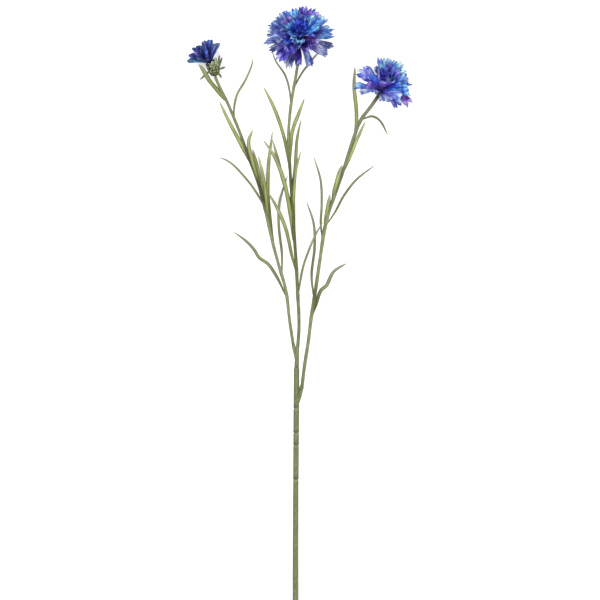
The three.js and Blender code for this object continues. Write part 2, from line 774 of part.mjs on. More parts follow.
function place(name, solid, material) {
  spray.add(meshOf(name, restOnSurface(solid), material));
}

place("main_stem", mainStem(), STEM_GREEN);
place("branch_left", leafyBranch(LEFT_BRANCH, 1.65, 1.5, LEFT_LEAVES), LEAF_GREEN);
place("branch_middle", leafyBranch(MIDDLE_BRANCH, 1.75, 1.5, MIDDLE_LEAVES, forkPieces()), LEAF_GREEN);
place("branch_right", leafyBranch(RIGHT_BRANCH, 1.7, 1.6, RIGHT_LEAVES), LEAF_GREEN);
place("bud_calyx", budCalyx(BUD_HEAD), CALYX_GREEN);
place("bud_florets", budFlorets(BUD_HEAD, BUD_FAN), ROYAL_BLUE);
place("middle_cup", turned(MIDDLE_HEAD.base, MIDDLE_HEAD.axis, BLOOM_CUP, 10), DARK_GREEN);
place("middle_outer_petals", petalRing(MIDDLE_HEAD, OUTER_RING, MIDDLE_OUTER, 11), VIOLET);
place("middle_inner_petals", petalRing(MIDDLE_HEAD, INNER_RING, MIDDLE_INNER, 211), SKY_BLUE);
place("middle_heart", heart(MIDDLE_HEAD, MIDDLE_HEART), NAVY);
place("right_cup", turned(RIGHT_HEAD.base, RIGHT_HEAD.axis, BLOOM_CUP, 10), DARK_GREEN);
place("right_outer_petals", petalRing(RIGHT_HEAD, OUTER_RING, RIGHT_OUTER, 811), VIOLET);
place("right_inner_petals", petalRing(RIGHT_HEAD, INNER_RING, RIGHT_INNER, 911), SKY_BLUE);
place("right_heart", heart(RIGHT_HEAD, RIGHT_HEART), NAVY);

export default spray;
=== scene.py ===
# Cornflower spray lying on a pale floor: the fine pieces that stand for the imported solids. Shapes
# are worked out in millimetres on the solids' drawing sheet, and each mesh is made in metres.

import math
from collections import namedtuple

import bpy
import numpy as np
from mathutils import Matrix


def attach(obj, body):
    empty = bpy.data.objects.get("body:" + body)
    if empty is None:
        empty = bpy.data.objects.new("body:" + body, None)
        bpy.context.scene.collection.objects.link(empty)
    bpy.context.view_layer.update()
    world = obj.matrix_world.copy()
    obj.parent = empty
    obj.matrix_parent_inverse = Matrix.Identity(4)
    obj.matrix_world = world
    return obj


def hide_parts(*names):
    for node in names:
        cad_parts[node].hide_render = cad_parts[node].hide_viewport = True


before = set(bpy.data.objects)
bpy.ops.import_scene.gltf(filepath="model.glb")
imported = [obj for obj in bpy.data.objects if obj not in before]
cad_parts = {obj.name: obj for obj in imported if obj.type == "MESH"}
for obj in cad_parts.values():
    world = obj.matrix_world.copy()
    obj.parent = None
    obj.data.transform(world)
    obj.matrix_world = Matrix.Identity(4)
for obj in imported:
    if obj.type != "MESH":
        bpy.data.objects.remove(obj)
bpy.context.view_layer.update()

# ---- Driving dimensions, in millimetres ----

MM = 0.001
# Where the origin of the row frame lies on the sheet.
SHEET_ORIGIN = (301.45, 306.3)

# Bumps are given as (height, half width), and seeded ripples as (height, size).

# The stem with its flock, the grooves of its ring joints and the lips beside them.
STEM_RADIUS = 2.7
SLEEVE_RADIUS = 2.85
STEM_WAVER = (0.05, 30)
GROOVE = (0.42, 0.8)
LIP = (0.14, 0.9)
LIP_OFFSET = 1.9

# Branches swell where a leaf leaves them, and reach into what they stand in.
NODE_SWELL = (0.16, 4)
BRANCH_WAVER = (0.035, 18)
SEAT = 0.45

# Leaves: widths and thinning are shares of the full size, and FROM places shares of the length.
LEAF_THICKNESS = 0.7
LEAF_TIP_THINNING = 0.6
LEAF_FOLD = 0.12
LEAF_FOLD_POWER = 1.3
LEAF_RISE_POWER = 1.3
LEAF_TWIST = 0.25
LEAF_SPREAD = 1.45
LEAF_ROOT_WIDTH = 0.5
LEAF_FULL_FROM = 0.25
LEAF_TAPER_FROM = 0.55
LEAF_TIP_WIDTH = 0.04

# Trumpet florets: pairs are ranges for seeded draws, most of them shares of the length.
PETAL_THICKNESS = 0.3
ROOT_HALF_WIDTH = 1.1
PETAL_KNEE = 0.45
FAN_FULL = 0.85
FAN_POWER = 2
SHOULDER = 0.1
NOTCH = (0.06, 0.17)
NOTCH_POWER = (1.1, 2.6)
LOBE_STRAY = (-0.08, 0.03)
TOOTH_BITE = (0.01, 0.05)
FLICK = (-0.05, 0.08)
ROLL_STRAY = 15
ROLL_AT_ROOT = 0.4
PLEAT = 0.5
# Crumples: step of the seed, ripple.
CRUMPLES = ((0, (1.1, 9)), (5, (0.45, 4.5)))

# Tube florets: share of the length and of the radius, the rounded end, and how they bend.
TUBE_PROFILE = ((0, 0.5), (0.55, 0.78), (0.85, 1))
TUBE_END_FROM = 0.85
TUBE_END_LENGTH = 0.15
TUBE_KNEE = 0.5
TUBE_SWAY = 0.5
TUBE_CREASES = 5
TUBE_CREASE_DEPTH = 0.1
# What a tube or a bract keeps of its size at the blunt end, squared.
END_BLUNTNESS = 0.02

# How fine the meshes are.
STEM_SIDES = 24
BRANCH_SIDES = 16
STEM_STEP = 0.8
BRANCH_STEP = 1.6
LEAF_STEP = 2
LEAF_SIDES = 20
PETAL_ROWS = 20
COLUMNS_PER_LOBE = 12
TEETH_PER_LOBE = 3
TUBE_SIDES = 20
TUBE_WALL_ROWS = 12
TUBE_END_ROWS = 6
CURVE_PIECES = 24
CORE_SIDES = 16
HEART_SIDES = 12
CUP_SIDES = 24
BRACT_ROWS = 11
BRACT_SIDES = 12

# ---- Painted shade and highlight laid into the dyes, with uneven tone, as shares of full dark ----

# Stems and branches: painted shade on the underside and on one side, and a mottle.
BAR_SHADE = 0.26
SIDE_SHADE = 0.1
MOTTLE = (0.07, 3.5)
# Leaves: painted shade at the edges, painted highlight above the rib and painted shade beneath it, and
# clouds. Thin and low leaves are duller.
LEAF_EDGE_SHADE = 0.46
RIB_LIGHT_AND_SHADE = (0.12, 0.2)
LEAF_CLOUD = (0.08, 22)
DULL_WIDTH = 2.1
DULL_FROM_Y = 285
LEAF_DULL = (0.86, 0.86, 1)
# Florets: painted shade in the valleys of folds and painted highlight on their crests, painted shade on the
# sides and underside of tubes and over their creases, and the tint that each painted shade takes.
FOLD_SHADE = 0.42
FOLD_LIGHT = 0.35
TUBE_SHADE = 0.46
TUBE_UNDERSIDE_SHADE = 0.12
TUBE_CREASE_LIGHT_AND_SHADE = 2
TUBE_CLOUD = (0.2, 5)
PETAL_GAIN = (1.19, 1.23, 1.2)
FOLD_TINT = (1.2, 1.05, 0.5)
LINE_TINT = (1.3, 1, 0.75)
TUBE_TINT = (1.2, 1.1, 0.8)
# Dark lines at the rim, and painted shade in the valleys between lobes: bump, slope and start of their
# growth.
RIM_LINE = ((1, 0.8), 2, 0.4)
SEAM_SHADE = ((0.9, 0.4), 2.5, 0.8)
# Where the tones of a dye lie along a trumpet: root, half-way, middle and tip. The long dark root is partly
# painted shade deep in the bloom.
DYE_STOPS = (0.25, 0.4, 0.62, 1)
# And along a tube: root, middle, tip, middle again.
TUBE_STOPS = (0, 0.6, 0.95, 1)
# Lengthwise streaks: strength, count across the floret, step of the seed.
STREAKS = ((0.07, 3, 0.1), (0.05, 8, 0.2))
# Blots and flecks move the dye along the floret, and blots stain it.
BLOT = (1, 14)
BLOT_SHIFT = 0.14
BLOT_STAIN = 0.45
FLECK = (0.2, 5)
VIOLET_CHANCE = 0.6
# Calyx scales and bracts: painted shade at the edges, and clouds.
SCALE_EDGE_SHADE = 0.34
SCALE_CLOUD = (0.2, 2.6)

# ---- Colours, as they look on the part: 0 to 255 in sRGB ----

# How much the lamps brighten a colour.
LIGHT_LEVEL = 1.65

STEM_GREEN = (122, 132, 88)
# Painted shade and painted highlight beside the stem's rings.
STEM_RING_SHADE = (84, 92, 58)
STEM_RING_HIGHLIGHT = (166, 176, 136)
BRANCH_GREEN = (140, 149, 104)
BRANCH_FOOT = (122, 132, 92)
BRANCH_TOP = (134, 137, 106)
BRANCH_DARK = (94, 103, 52)
# Painted shade on the left branch where it lies in shadow among leaves.
BRANCH_PAINTED_SHADE = (86, 78, 52)
DARK_END = (70, 74, 42)
LEAF_ROOT = (130, 138, 74)
LEAF_MIDDLE = (154, 161, 93)
LEAF_TIP = (174, 174, 130)
CALYX_PALE = (198, 210, 166)
CALYX_MIDDLE = (96, 106, 60)
# Painted shade in the gaps at the roots of calyx fingers and side bracts.
CALYX_GAP_SHADE = (44, 48, 20)
BRACT_OLIVE = (104, 114, 66)
# Dark brown of the side bracts, which also stands for deep shade.
BRACT_BROWN_AND_SHADE = (78, 76, 48)

# Tones along leaves, branches and sockets: share of the length, colour.
LEAF_TONES = ((0, LEAF_ROOT), (0.45, LEAF_MIDDLE), (1, LEAF_TIP))
STEM_TO_BRANCH = ((0, STEM_GREEN), (1, BRANCH_FOOT))
FOOT_TO_BRANCH = ((0, BRANCH_FOOT), (1, BRANCH_GREEN))
# The left branch has a stretch of painted shade part way up.
LEFT_TONES = (
    (0, BRANCH_FOOT), (0.1, BRANCH_GREEN), (0.46, BRANCH_GREEN), (0.53, BRANCH_PAINTED_SHADE),
    (0.69, BRANCH_PAINTED_SHADE), (0.78, BRANCH_FOOT), (1, BRANCH_GREEN),
)
MIDDLE_TONES = (
    (0, BRANCH_FOOT), (0.2, BRANCH_FOOT), (0.38, BRANCH_DARK),
    (0.6, BRANCH_DARK), (0.7, BRANCH_GREEN), (1, BRANCH_GREEN),
)
RIGHT_TONES = (
    (0, BRANCH_FOOT), (0.22, BRANCH_GREEN), (0.3, BRANCH_DARK), (0.38, BRANCH_GREEN),
    (0.58, BRANCH_GREEN), (0.7, BRANCH_TOP), (0.97, BRANCH_TOP), (1, DARK_END),
)

# Petal dyes: root, middle and tip of a floret, and how dark its outline and the painted shade between its
# lobes are. The dark roots are partly the dye and partly painted shade deep in the bloom.
DYES = {
    "sky": ((22, 34, 156), (68, 130, 232), (136, 182, 236), 0.5),
    "sky_rim": ((30, 36, 156), (92, 146, 232), (162, 188, 230), 0.6),
    "royal": ((14, 14, 112), (44, 72, 216), (108, 144, 234), 0.5),
    "violet": ((34, 18, 108), (88, 72, 190), (148, 142, 216), 0.6),
    "indigo": ((20, 10, 88), (56, 42, 172), (104, 104, 214), 0.5),
    "purple": ((38, 12, 88), (86, 48, 160), (140, 122, 206), 0.6),
    "magenta": ((74, 16, 92), (148, 78, 186), (180, 170, 224), 0.5),
    "lilac": ((88, 62, 148), (160, 152, 204), (190, 190, 218), 0.65),
    "grey": ((50, 38, 128), (118, 126, 200), (174, 188, 218), 0.6),
    "dusk": ((20, 22, 110), (84, 96, 200), (160, 174, 214), 0.65),
    "pale": ((112, 110, 194), (174, 184, 226), (202, 214, 238), 0.5),
    "night": ((15, 14, 98), (34, 46, 196), (80, 108, 240), 0.4),
    "ice": ((38, 66, 214), (70, 140, 252), (136, 184, 250), 0.5),
    "frost": ((90, 122, 236), (116, 154, 252), (154, 188, 252), 0.2),
    "glow": ((24, 34, 146), (112, 162, 232), (178, 206, 238), 0.55),
    "mist": ((60, 22, 118), (120, 128, 206), (146, 184, 224), 0.55),
    "wine": ((30, 6, 38), (74, 18, 88), (104, 54, 146), 0.4),
    "plum": ((24, 8, 52), (96, 58, 186), (146, 170, 234), 0.55),
    "cobalt": ((14, 14, 76), (46, 72, 204), (100, 134, 226), 0.3),
    "ink": ((10, 10, 42), (30, 42, 120), (66, 88, 180), 0.3),
    "steel": ((34, 46, 120), (102, 132, 204), (170, 194, 232), 0.3),
    "teal": ((18, 36, 104), (48, 112, 186), (112, 176, 204), 0.3),
}

# ---- Small helpers ----


def at(x, y, z):
    """A place on the sheet, x right and y down, at height z, in the row frame."""
    return np.array((x - SHEET_ORIGIN[0], SHEET_ORIGIN[1] - y, z), float)


def draw(seed):
    """A repeatable draw between 0 and 1."""
    s = math.sin(seed * 12.9898) * 43758.5453
    return s - math.floor(s)


def between(seed, low, high):
    """A repeatable draw between low and high."""
    return low + (high - low) * draw(seed)


def blend(a, b, t):
    """From a to b as t goes from 0 to 1, and level beyond."""
    return a + (b - a) * np.clip(t, 0, 1)


def unit(v):
    """Vectors made 1 long."""
    return v / np.linalg.norm(v, axis=-1, keepdims=True)


def bump(x, height, half):
    """A smooth rise to height where x is 0, about half wide on each side."""
    return height * np.exp(-((x / half) ** 2))


def linear(colour):
    """sRGB from 0 to 255 as linear light, less the strength of the lamps it is seen under."""
    c = np.clip(np.asarray(colour, float) / 255, 0, 1)
    return np.where(c <= 0.04045, c / 12.92, ((c + 0.055) / 1.055) ** 2.4) / LIGHT_LEVEL


def wash(stops, share):
    """A colour between stops, a list of (share, colour)."""
    at_shares = [s for s, _ in stops]
    return np.stack([np.interp(share, at_shares, [c[k] for _, c in stops]) for k in range(3)], -1)


def ripple(points, seed, height, size):
    """Smooth seeded noise, about height up and down, that changes over size millimetres."""
    total = 0
    for k in range(4):
        heading = np.array([between(seed + k + j / 3, -1, 1) for j in range(3)])
        phase = between(seed + k + 0.77, 0, math.tau)
        total = total + np.sin(points @ unit(heading) * math.tau / size * (0.7 + 0.35 * k) + phase)
    return height * (total / 2.5)


def above_floor(points):
    """The points, with those below the surface laid on it."""
    return np.column_stack((points[:, :2], np.maximum(points[:, 2], 0)))


def turn_about(v, axis, angle):
    """v turned about a unit axis, both arrays of vectors, by an angle in radians."""
    c, s = np.cos(angle)[..., None], np.sin(angle)[..., None]
    along = np.sum(v * axis, -1, keepdims=True) * axis
    return v * c + np.cross(axis, v) * s + along * (1 - c)


def arch(root, knee, tip, t):
    """Places and directions on a quadratic curve at shares t, whose last axis has length 1."""
    centre = (1 - t) ** 2 * root + 2 * t * (1 - t) * knee + t**2 * tip
    return centre, unit(2 * (1 - t) * (knee - root) + 2 * t * (tip - knee))


def around(sides):
    """Angles evenly round a ring."""
    return np.arange(sides) / sides * math.tau


def spread_out(*parts):
    """Three coordinates as one array of points."""
    return np.stack(np.broadcast_arrays(*parts), -1)


def run_along(line):
    """How far along a line each of its points lies."""
    return np.concatenate(((0,), np.cumsum(np.linalg.norm(np.diff(line, axis=0), axis=1))))


def smooth_line(points, step):
    """Evenly spaced points, about step apart, on a centripetal Catmull-Rom curve."""
    p = np.array(points, float)
    p = np.vstack((2 * p[0] - p[1], p, 2 * p[-1] - p[-2]))
    fine = []
    for i in range(len(p) - 3):
        a, b, c, d = p[i : i + 4]
        ab, bc, cd = (math.sqrt(np.linalg.norm(v)) for v in (b - a, c - b, d - c))
        out = ((b - a) / ab - (c - a) / (ab + bc) + (c - b) / bc) * bc
        into = ((c - b) / bc - (d - b) / (bc + cd) + (d - c) / cd) * bc
        t = np.linspace(0, 1, CURVE_PIECES, endpoint=False)[:, None]
        fine.append(b + out * t + (3 * (c - b) - 2 * out - into) * t**2 + (2 * (b - c) + out + into) * t**3)
    fine = np.vstack((*fine, p[-2]))
    run = run_along(fine)
    places = np.linspace(0, run[-1], max(2, round(run[-1] / step)) + 1)
    return np.stack([np.interp(places, run, fine[:, k]) for k in range(3)], -1)


def frames_along(line):
    """A sideways and an upward direction at each point, without twist."""
    tangents = unit(np.gradient(line, axis=0))
    side = np.cross((0, 0, 1), tangents[0])
    sides = []
    for tangent in tangents:
        side = unit(side - tangent * (side @ tangent))
        sides.append(side)
    sides = np.array(sides)
    return sides, np.cross(tangents, sides)


# ---- Meshes ----


def placed(name, data):
    """An object made of data and put in the scene."""
    obj = bpy.data.objects.new(name, data)
    bpy.context.scene.collection.objects.link(obj)
    return obj


class Skin:
    """The points, faces, dye with painted shade and highlight, and lay of one piece. Lay holds millimetres
    across and along.
    """

    def __init__(self):
        self.points, self.faces, self.dyes, self.lays = [], [], [], []
        self.count = 0

    def add(self, points, faces, dyes, lays):
        """Adds one body, its faces given by the places of their corners in points."""
        self.faces += [[i + self.count for i in face] for face in faces]
        self.points.append(above_floor(points.reshape(-1, 3)))
        self.dyes.append(np.broadcast_to(dyes, points.shape).reshape(-1, 3))
        self.lays.append(np.broadcast_to(lays, points.shape).reshape(-1, 3))
        self.count += points.size // 3

    def sheet(self, grid, thickness, dyes, lays):
        """A closed body of even thickness about a grid of points."""
        rows, columns = grid.shape[:2]
        normal = unit(np.cross(np.gradient(grid, axis=1), np.gradient(grid, axis=0)))
        half = normal * thickness / 2
        index = np.arange(rows * columns).reshape(rows, columns)
        a, b, d, e = index[:-1, :-1], index[:-1, 1:], index[1:, :-1], index[1:, 1:]
        front = np.stack((a, b, e, d), -1).reshape(-1, 4)
        back = np.stack((a, d, e, b), -1).reshape(-1, 4) + rows * columns
        rim = np.concatenate((index[0, :-1], index[:-1, -1], index[-1, :0:-1], index[:0:-1, 0]))
        ahead = np.roll(rim, -1)
        edge = np.stack((ahead, rim, rim + rows * columns, ahead + rows * columns), -1)
        faces = np.concatenate((front, back, edge)).tolist()
        both = np.stack((grid + half, grid - half))
        self.add(both, faces, np.stack((dyes, dyes)), np.stack((lays, lays)))

    def tube(self, rings, dyes, lays):
        """A closed body over rings of points, each counter-clockwise about the way ahead."""
        rows, sides = rings.shape[:2]
        index = np.arange(rows * sides).reshape(rows, sides)
        ahead = np.roll(index, -1, axis=1)
        walls = np.stack((index[:-1], ahead[:-1], ahead[1:], index[1:]), -1).reshape(-1, 4).tolist()
        self.add(rings, [*walls, index[0, ::-1].tolist(), index[-1].tolist()], dyes, lays)

    def piece(self, name, node, material):
        """Makes the mesh object that stands for a CAD node."""
        mesh = bpy.data.meshes.new(name)
        mesh.from_pydata((np.vstack(self.points) * MM).tolist(), [], self.faces)
        mesh.shade_smooth()
        # The dye attribute carries the dye with the painted shade and highlight laid into it.
        dye = mesh.attributes.new("dye", "FLOAT_COLOR", "POINT")
        colours = np.column_stack((linear(np.vstack(self.dyes)), np.ones(self.count)))
        dye.data.foreach_set("color", colours.ravel())
        lay = mesh.attributes.new("lay", "FLOAT_VECTOR", "POINT")
        lay.data.foreach_set("vector", np.vstack(self.lays).ravel())
        mesh.materials.append(material)
        obj = placed(name, mesh)
        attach(obj, "root")
        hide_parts(node)


def round_bar(skin, line, radii, sides, dyes):
    """A bar of round section about a line."""
    side, up = frames_along(line)
    angle = around(sides)
    ring = side[:, None] * np.cos(angle)[None, :, None] + up[:, None] * np.sin(angle)[None, :, None]
    radii = np.asarray(radii, float) * np.ones(len(line))
    rings = line[:, None] + ring * radii[:, None, None]
    run = run_along(line)
    lays = spread_out(angle[None] * radii[:, None], run[:, None], 0)
    # Painted shade on the underside and on one side of the bar.
    shade = 1 - BAR_SHADE * (1 - np.sin(angle)) - SIDE_SHADE * np.cos(angle)
    mottle = 1 + ripple(rings, sides, *MOTTLE)
    skin.tube(rings, dyes[:, None] * (shade * mottle)[..., None], lays)


# ---- Stems and leaves ----


def leaf_width(width, share):
    """The width at shares of the length: narrow at the root, full, then drawn to a point."""
    swell = blend(LEAF_ROOT_WIDTH, 1, share / LEAF_FULL_FROM)
    pointing = np.maximum(0, (share - LEAF_TAPER_FROM) / (1 - LEAF_TAPER_FROM))
    return LEAF_SPREAD * width * swell * np.maximum(np.sqrt(np.maximum(0, 1 - pointing**2)), LEAF_TIP_WIDTH)


def leaf(skin, branch_line, path, width, tip_z, turn=0):
    """A narrow folded leaf. path runs from its tip to the middle of its branch on the sheet."""
    root = at(*path[-1], 0)
    nearest = np.argmin(np.hypot(*(branch_line[:, :2] - root[:2]).T))
    root_z = branch_line[nearest, 2]
    count = len(path) - 1
    heights = [blend(root_z, tip_z, (i / count) ** LEAF_RISE_POWER) for i in range(count + 1)]
    points = [at(x, y, z) for (x, y), z in zip(path[::-1], heights)]
    line = smooth_line(points, LEAF_STEP)
    share = np.linspace(0, 1, len(line))
    tangents = unit(np.gradient(line, axis=0))
    side = unit(np.cross((0, 0, 1), tangents))
    up = np.cross(tangents, side)
    seed = path[0][0] + path[0][1]
    wave = np.sin(share * math.pi * between(seed, 1, 2) + between(seed + 1, 0, 6))
    twist = np.radians(turn) + LEAF_TWIST * wave
    side = turn_about(side, tangents, twist)
    up = turn_about(up, tangents, twist)
    half = leaf_width(width, share) / 2
    thin = LEAF_THICKNESS / 2 * blend(1, LEAF_TIP_THINNING, share)
    angle = around(LEAF_SIDES)
    s = np.cos(angle)
    crease = 2 * LEAF_FOLD * np.abs(s) ** LEAF_FOLD_POWER
    rings = (
        line[:, None]
        + side[:, None] * (half[:, None] * s)[..., None]
        + up[:, None] * (half[:, None] * crease + thin[:, None] * np.sin(angle))[..., None]
    )
    # Painted highlight along the top of the rib, painted shade beneath it.
    rib_light_and_shade = bump(s, *RIB_LIGHT_AND_SHADE)
    dyes = wash(LEAF_TONES, share)[:, None]
    dyes = dyes * (1 + rib_light_and_shade[None, :, None] * np.sign(np.sin(angle))[None, :, None])
    # Painted shade towards the edges of the leaf.
    dyes = dyes * (1 - LEAF_EDGE_SHADE * np.abs(s) ** 3)[:, None]
    if width < DULL_WIDTH or path[-1][1] > DULL_FROM_Y:
        dyes = dyes * LEAF_DULL
    dyes = dyes * (1 + ripple(rings, seed, *LEAF_CLOUD)[..., None])
    run = share[:, None] * len(line) * LEAF_STEP
    lays = spread_out(half[:, None] * s, run, seed)
    skin.tube(rings, dyes, lays)


def branch(skin, points, radius_low, radius_high, leaves, tones):
    """A slightly uneven branch along its points, with its leaves."""
    line = smooth_line([at(*p) for p in points], BRANCH_STEP)
    line[0] -= unit(line[1] - line[0]) * SEAT
    line[-1] += unit(line[-1] - line[-2]) * SEAT
    share = np.linspace(0, 1, len(line))
    radii = blend(radius_low, radius_high, share)
    for path, *_ in leaves:
        gap = np.linalg.norm(line[:, :2] - at(*path[-1], 0)[:2], axis=1)
        radii = radii + bump(gap, *NODE_SWELL)
    radii = radii * (1 + ripple(line, radius_low * 100 + len(points), *BRANCH_WAVER))
    round_bar(skin, line, radii, BRANCH_SIDES, wash(tones, share))
    for path, width, tip_z, *turn in leaves:
        leaf(skin, line, path, width, tip_z, *turn)


# Branches from the stem up: x and y on the sheet, height.
LEFT_BRANCH = (
    (293.2, 344.6, 15.5), (289.5, 320, 17), (286, 291, 18.5), (279, 266, 19.5), (272, 240, 20),
    (266, 213, 20), (259, 186, 19.5), (248, 155, 18.5), (240, 133, 17.5), (228, 104, 16.6),
    (219.2, 86, 16.4), (215.1, 76.8, 16.5),
)
MIDDLE_BRANCH = (
    (296.6, 366.7, 14.3), (297.5, 350, 15.2), (299, 325, 16.6), (297.5, 290, 18.4),
    (296, 260, 19.6), (294, 232, 20.6), (292, 200, 21.6), (290, 170, 22.2), (288.4, 140, 22.4),
    (290, 113, 21.8), (293, 92, 20.6), (297, 69, 19), (298.6, 53, 19.6), (299.1, 44.7, 23),
    (299.2, 42.8, 26.2),
)
RIGHT_BRANCH = (
    (302.1, 385.4, 13.6), (304.5, 366, 14.8), (308.5, 340, 16.2), (311.3, 317, 17.5),
    (315.5, 290, 19), (319.5, 263, 20.6), (324.5, 230, 22.5), (329.5, 210, 23.8),
    (337, 189, 25), (345, 165, 26.4), (353, 140, 27.8), (361, 120, 29), (371, 106.5, 29.8),
    (377.55, 97, 29.98),
)

# Leaves: path from the tip to the root on the sheet, width, height of the tip, turn in degrees.
LEFT_LEAVES = (
    (((199, 64.5), (203, 70), (209, 80.5), (216, 89), (225, 100)), 3.6, 21, 20),
    (((253.5, 57), (251.5, 66), (245, 81), (237, 95), (234, 110), (234.5, 121)), 1.7, 26),
    (((219.3, 101), (228.5, 120), (239.5, 141), (251, 164)), 3, 13, -15),
    (((253, 129.5), (248.5, 142), (252, 160), (262, 194)), 3, 24, 15),
    (((252.5, 149), (258, 170), (265.5, 209)), 2.6, 14),
    (((258.5, 156.5), (264, 182), (268.5, 224)), 2.4, 25, 10),
    (((272.5, 130.5), (268.5, 165), (268, 193), (271.5, 230), (274, 247)), 2.6, 13),
    (((219, 157), (231, 163), (249, 182), (258, 195), (264, 206)), 2, 26, -20),
    (((287.6, 175), (279.5, 203), (278.8, 225), (281.9, 255), (281.8, 274)), 1.9, 12),
    (
        ((232.5, 231), (246, 241), (254, 249.5), (259, 257.5), (268, 264), (277, 277), (286.5, 297)),
        2.4,
        27,
        -15,
    ),
)
MIDDLE_LEAVES = (
    (((271.5, 49), (275.5, 60.6), (285, 75), (289.5, 90), (290.7, 106)), 1.5, 14),
    (((320, 50.5), (311, 61), (301, 74.5), (294.5, 87)), 1.5, 14),
    (((263.5, 87), (274, 108), (284, 138), (289.3, 166)), 2.8, 29, 15),
    (((263, 140), (274, 156), (284, 181), (290.2, 212), (293.4, 240)), 2.9, 30),
    (((272.5, 140), (278, 160), (283, 181), (292, 206)), 2.4, 23.5, 20),
    (((304.5, 98.5), (299, 113), (292.5, 132), (290, 160)), 2.8, 27, -10),
    (((301, 119), (297, 140), (295.6, 165), (293.5, 190), (294.5, 235)), 2.6, 18),
    (((301, 151), (296, 170), (293.8, 195), (294, 226)), 2.2, 29, 15),
    (((268.5, 193), (278, 210), (286, 230), (291.5, 255), (296.3, 272)), 2.6, 29, 15),
    (((323, 222), (315.5, 235), (308, 253), (303, 268), (298, 295)), 1.8, 29, -15),
)
RIGHT_LEAVES = (
    (((306.6, 201.5), (313.8, 224), (314.5, 248), (311.5, 275), (313.8, 298)), 1.9, 13),
    (((313.5, 156), (320.5, 180), (321.6, 205), (320.7, 224), (322.7, 241)), 1.8, 28),
    (((375, 165), (356, 180), (343, 197), (335, 212), (325.5, 226)), 1.8, 17, 20),
    (((347, 263), (333.5, 272), (326.5, 285.5), (321, 290.5), (316, 305), (311.5, 318)), 2.6, 10, -20),
    (((355, 67), (354, 86), (356.5, 113), (356, 127), (353.7, 138)), 2.8, 18),
    (((387.8, 135), (380, 121), (372, 116.5), (361, 120)), 1.7, 24, 15),
    (((365.5, 121), (357, 140), (349, 160), (341.5, 176)), 2.4, 36, -15),
    (((341.8, 165), (337, 182), (332.4, 200)), 3.4, 32, -10),
    (((330, 194), (327.8, 207), (324.3, 230)), 2.8, 30),
)

# The stem: its ends on the sheet, how far its top leans over, and its height and rise.
STEM_LOW_Y = 608
STEM_TOP_Y = 367.2
STEM_LOW_X = 295.4
STEM_TOP_X = 296.6
STEM_LEAN_OVER = 180
STEM_LOW_Z = 2.2
STEM_RISE = 0.05
RINGS_Y = (480, 445.5, 433, 408.5, 367.6)
# Painted shade and painted highlight beside each ring: place, bump, tone.
RING_SHADE_AND_HIGHLIGHT = ((-1.4, (0.65, 1.5), STEM_RING_SHADE), (1, (0.6, 0.7), STEM_RING_HIGHLIGHT))
# Sockets and the foot of the middle branch: x and y on the sheet, height.
RIGHT_SOCKET = ((297, 406, 12.4), (299.6, 396.5, 12.9), (302, 386, 13.5))
LEFT_SOCKET = ((296.6, 362, 14.6), (295, 353, 15), (293.3, 345.2, 15.4))
MIDDLE_FOOT = ((296.6, 366.7, 14.3), (297, 357, 14.8), (297.6, 346, 15.4))
FOOT_RADII = (2.4, 1.8)
SOCKET_LIP = (0.1, 0.06)
SOCKET_LIP_AT = 0.9


def main_stem(skin):
    """The stem with its rings, and the socket of the right branch."""
    y = np.linspace(STEM_LOW_Y, STEM_TOP_Y, round((STEM_LOW_Y - STEM_TOP_Y) / STEM_STEP) + 1)
    x = blend(STEM_TOP_X, STEM_LOW_X, (y - STEM_TOP_Y) / STEM_LEAN_OVER)
    line = at(0, 0, 0) + np.stack((x, -y, STEM_LOW_Z + (STEM_LOW_Y - y) * STEM_RISE), -1)
    radii = np.where(y > RINGS_Y[0], STEM_RADIUS, SLEEVE_RADIUS)
    dyes = np.where((y > RINGS_Y[0])[:, None], STEM_GREEN, BRANCH_FOOT).astype(float)
    for ring_y in RINGS_Y:
        beside = y - ring_y
        radii = radii - bump(beside, *GROOVE) + bump(np.abs(beside) - LIP_OFFSET, *LIP)
        # Painted shade on one side of each ring and painted highlight on the other.
        for place, strength, tone in RING_SHADE_AND_HIGHLIGHT:
            dyes = blend(dyes, np.array(tone), bump(beside - place, *strength)[:, None])
    radii = radii + ripple(line, 17, *STEM_WAVER)
    round_bar(skin, line, radii, STEM_SIDES, dyes)
    socket(skin, RIGHT_SOCKET, low=1.2, high=2, full_from=0.5, tones=STEM_TO_BRANCH)


def socket(skin, points, low, high, full_from, tones):
    """A sleeve for a branch. Its radius goes from low to high by a share of the length."""
    line = smooth_line([at(*p) for p in points], STEM_STEP)
    share = np.linspace(0, 1, len(line))
    lip = bump(share - SOCKET_LIP_AT, *SOCKET_LIP)
    round_bar(skin, line, blend(low, high, share / full_from) + lip, BRANCH_SIDES, wash(tones, share))


def fork(skin):
    """The thicker foot of the middle branch and the socket of the left one."""
    foot = smooth_line([at(*p) for p in MIDDLE_FOOT], STEM_STEP)
    share = np.linspace(0, 1, len(foot))
    round_bar(skin, foot, blend(*FOOT_RADII, share), STEM_SIDES, wash(FOOT_TO_BRANCH, share))
    socket(skin, LEFT_SOCKET, low=1.4, high=1.9, full_from=1, tones=FOOT_TO_BRANCH)


# ---- Heads ----


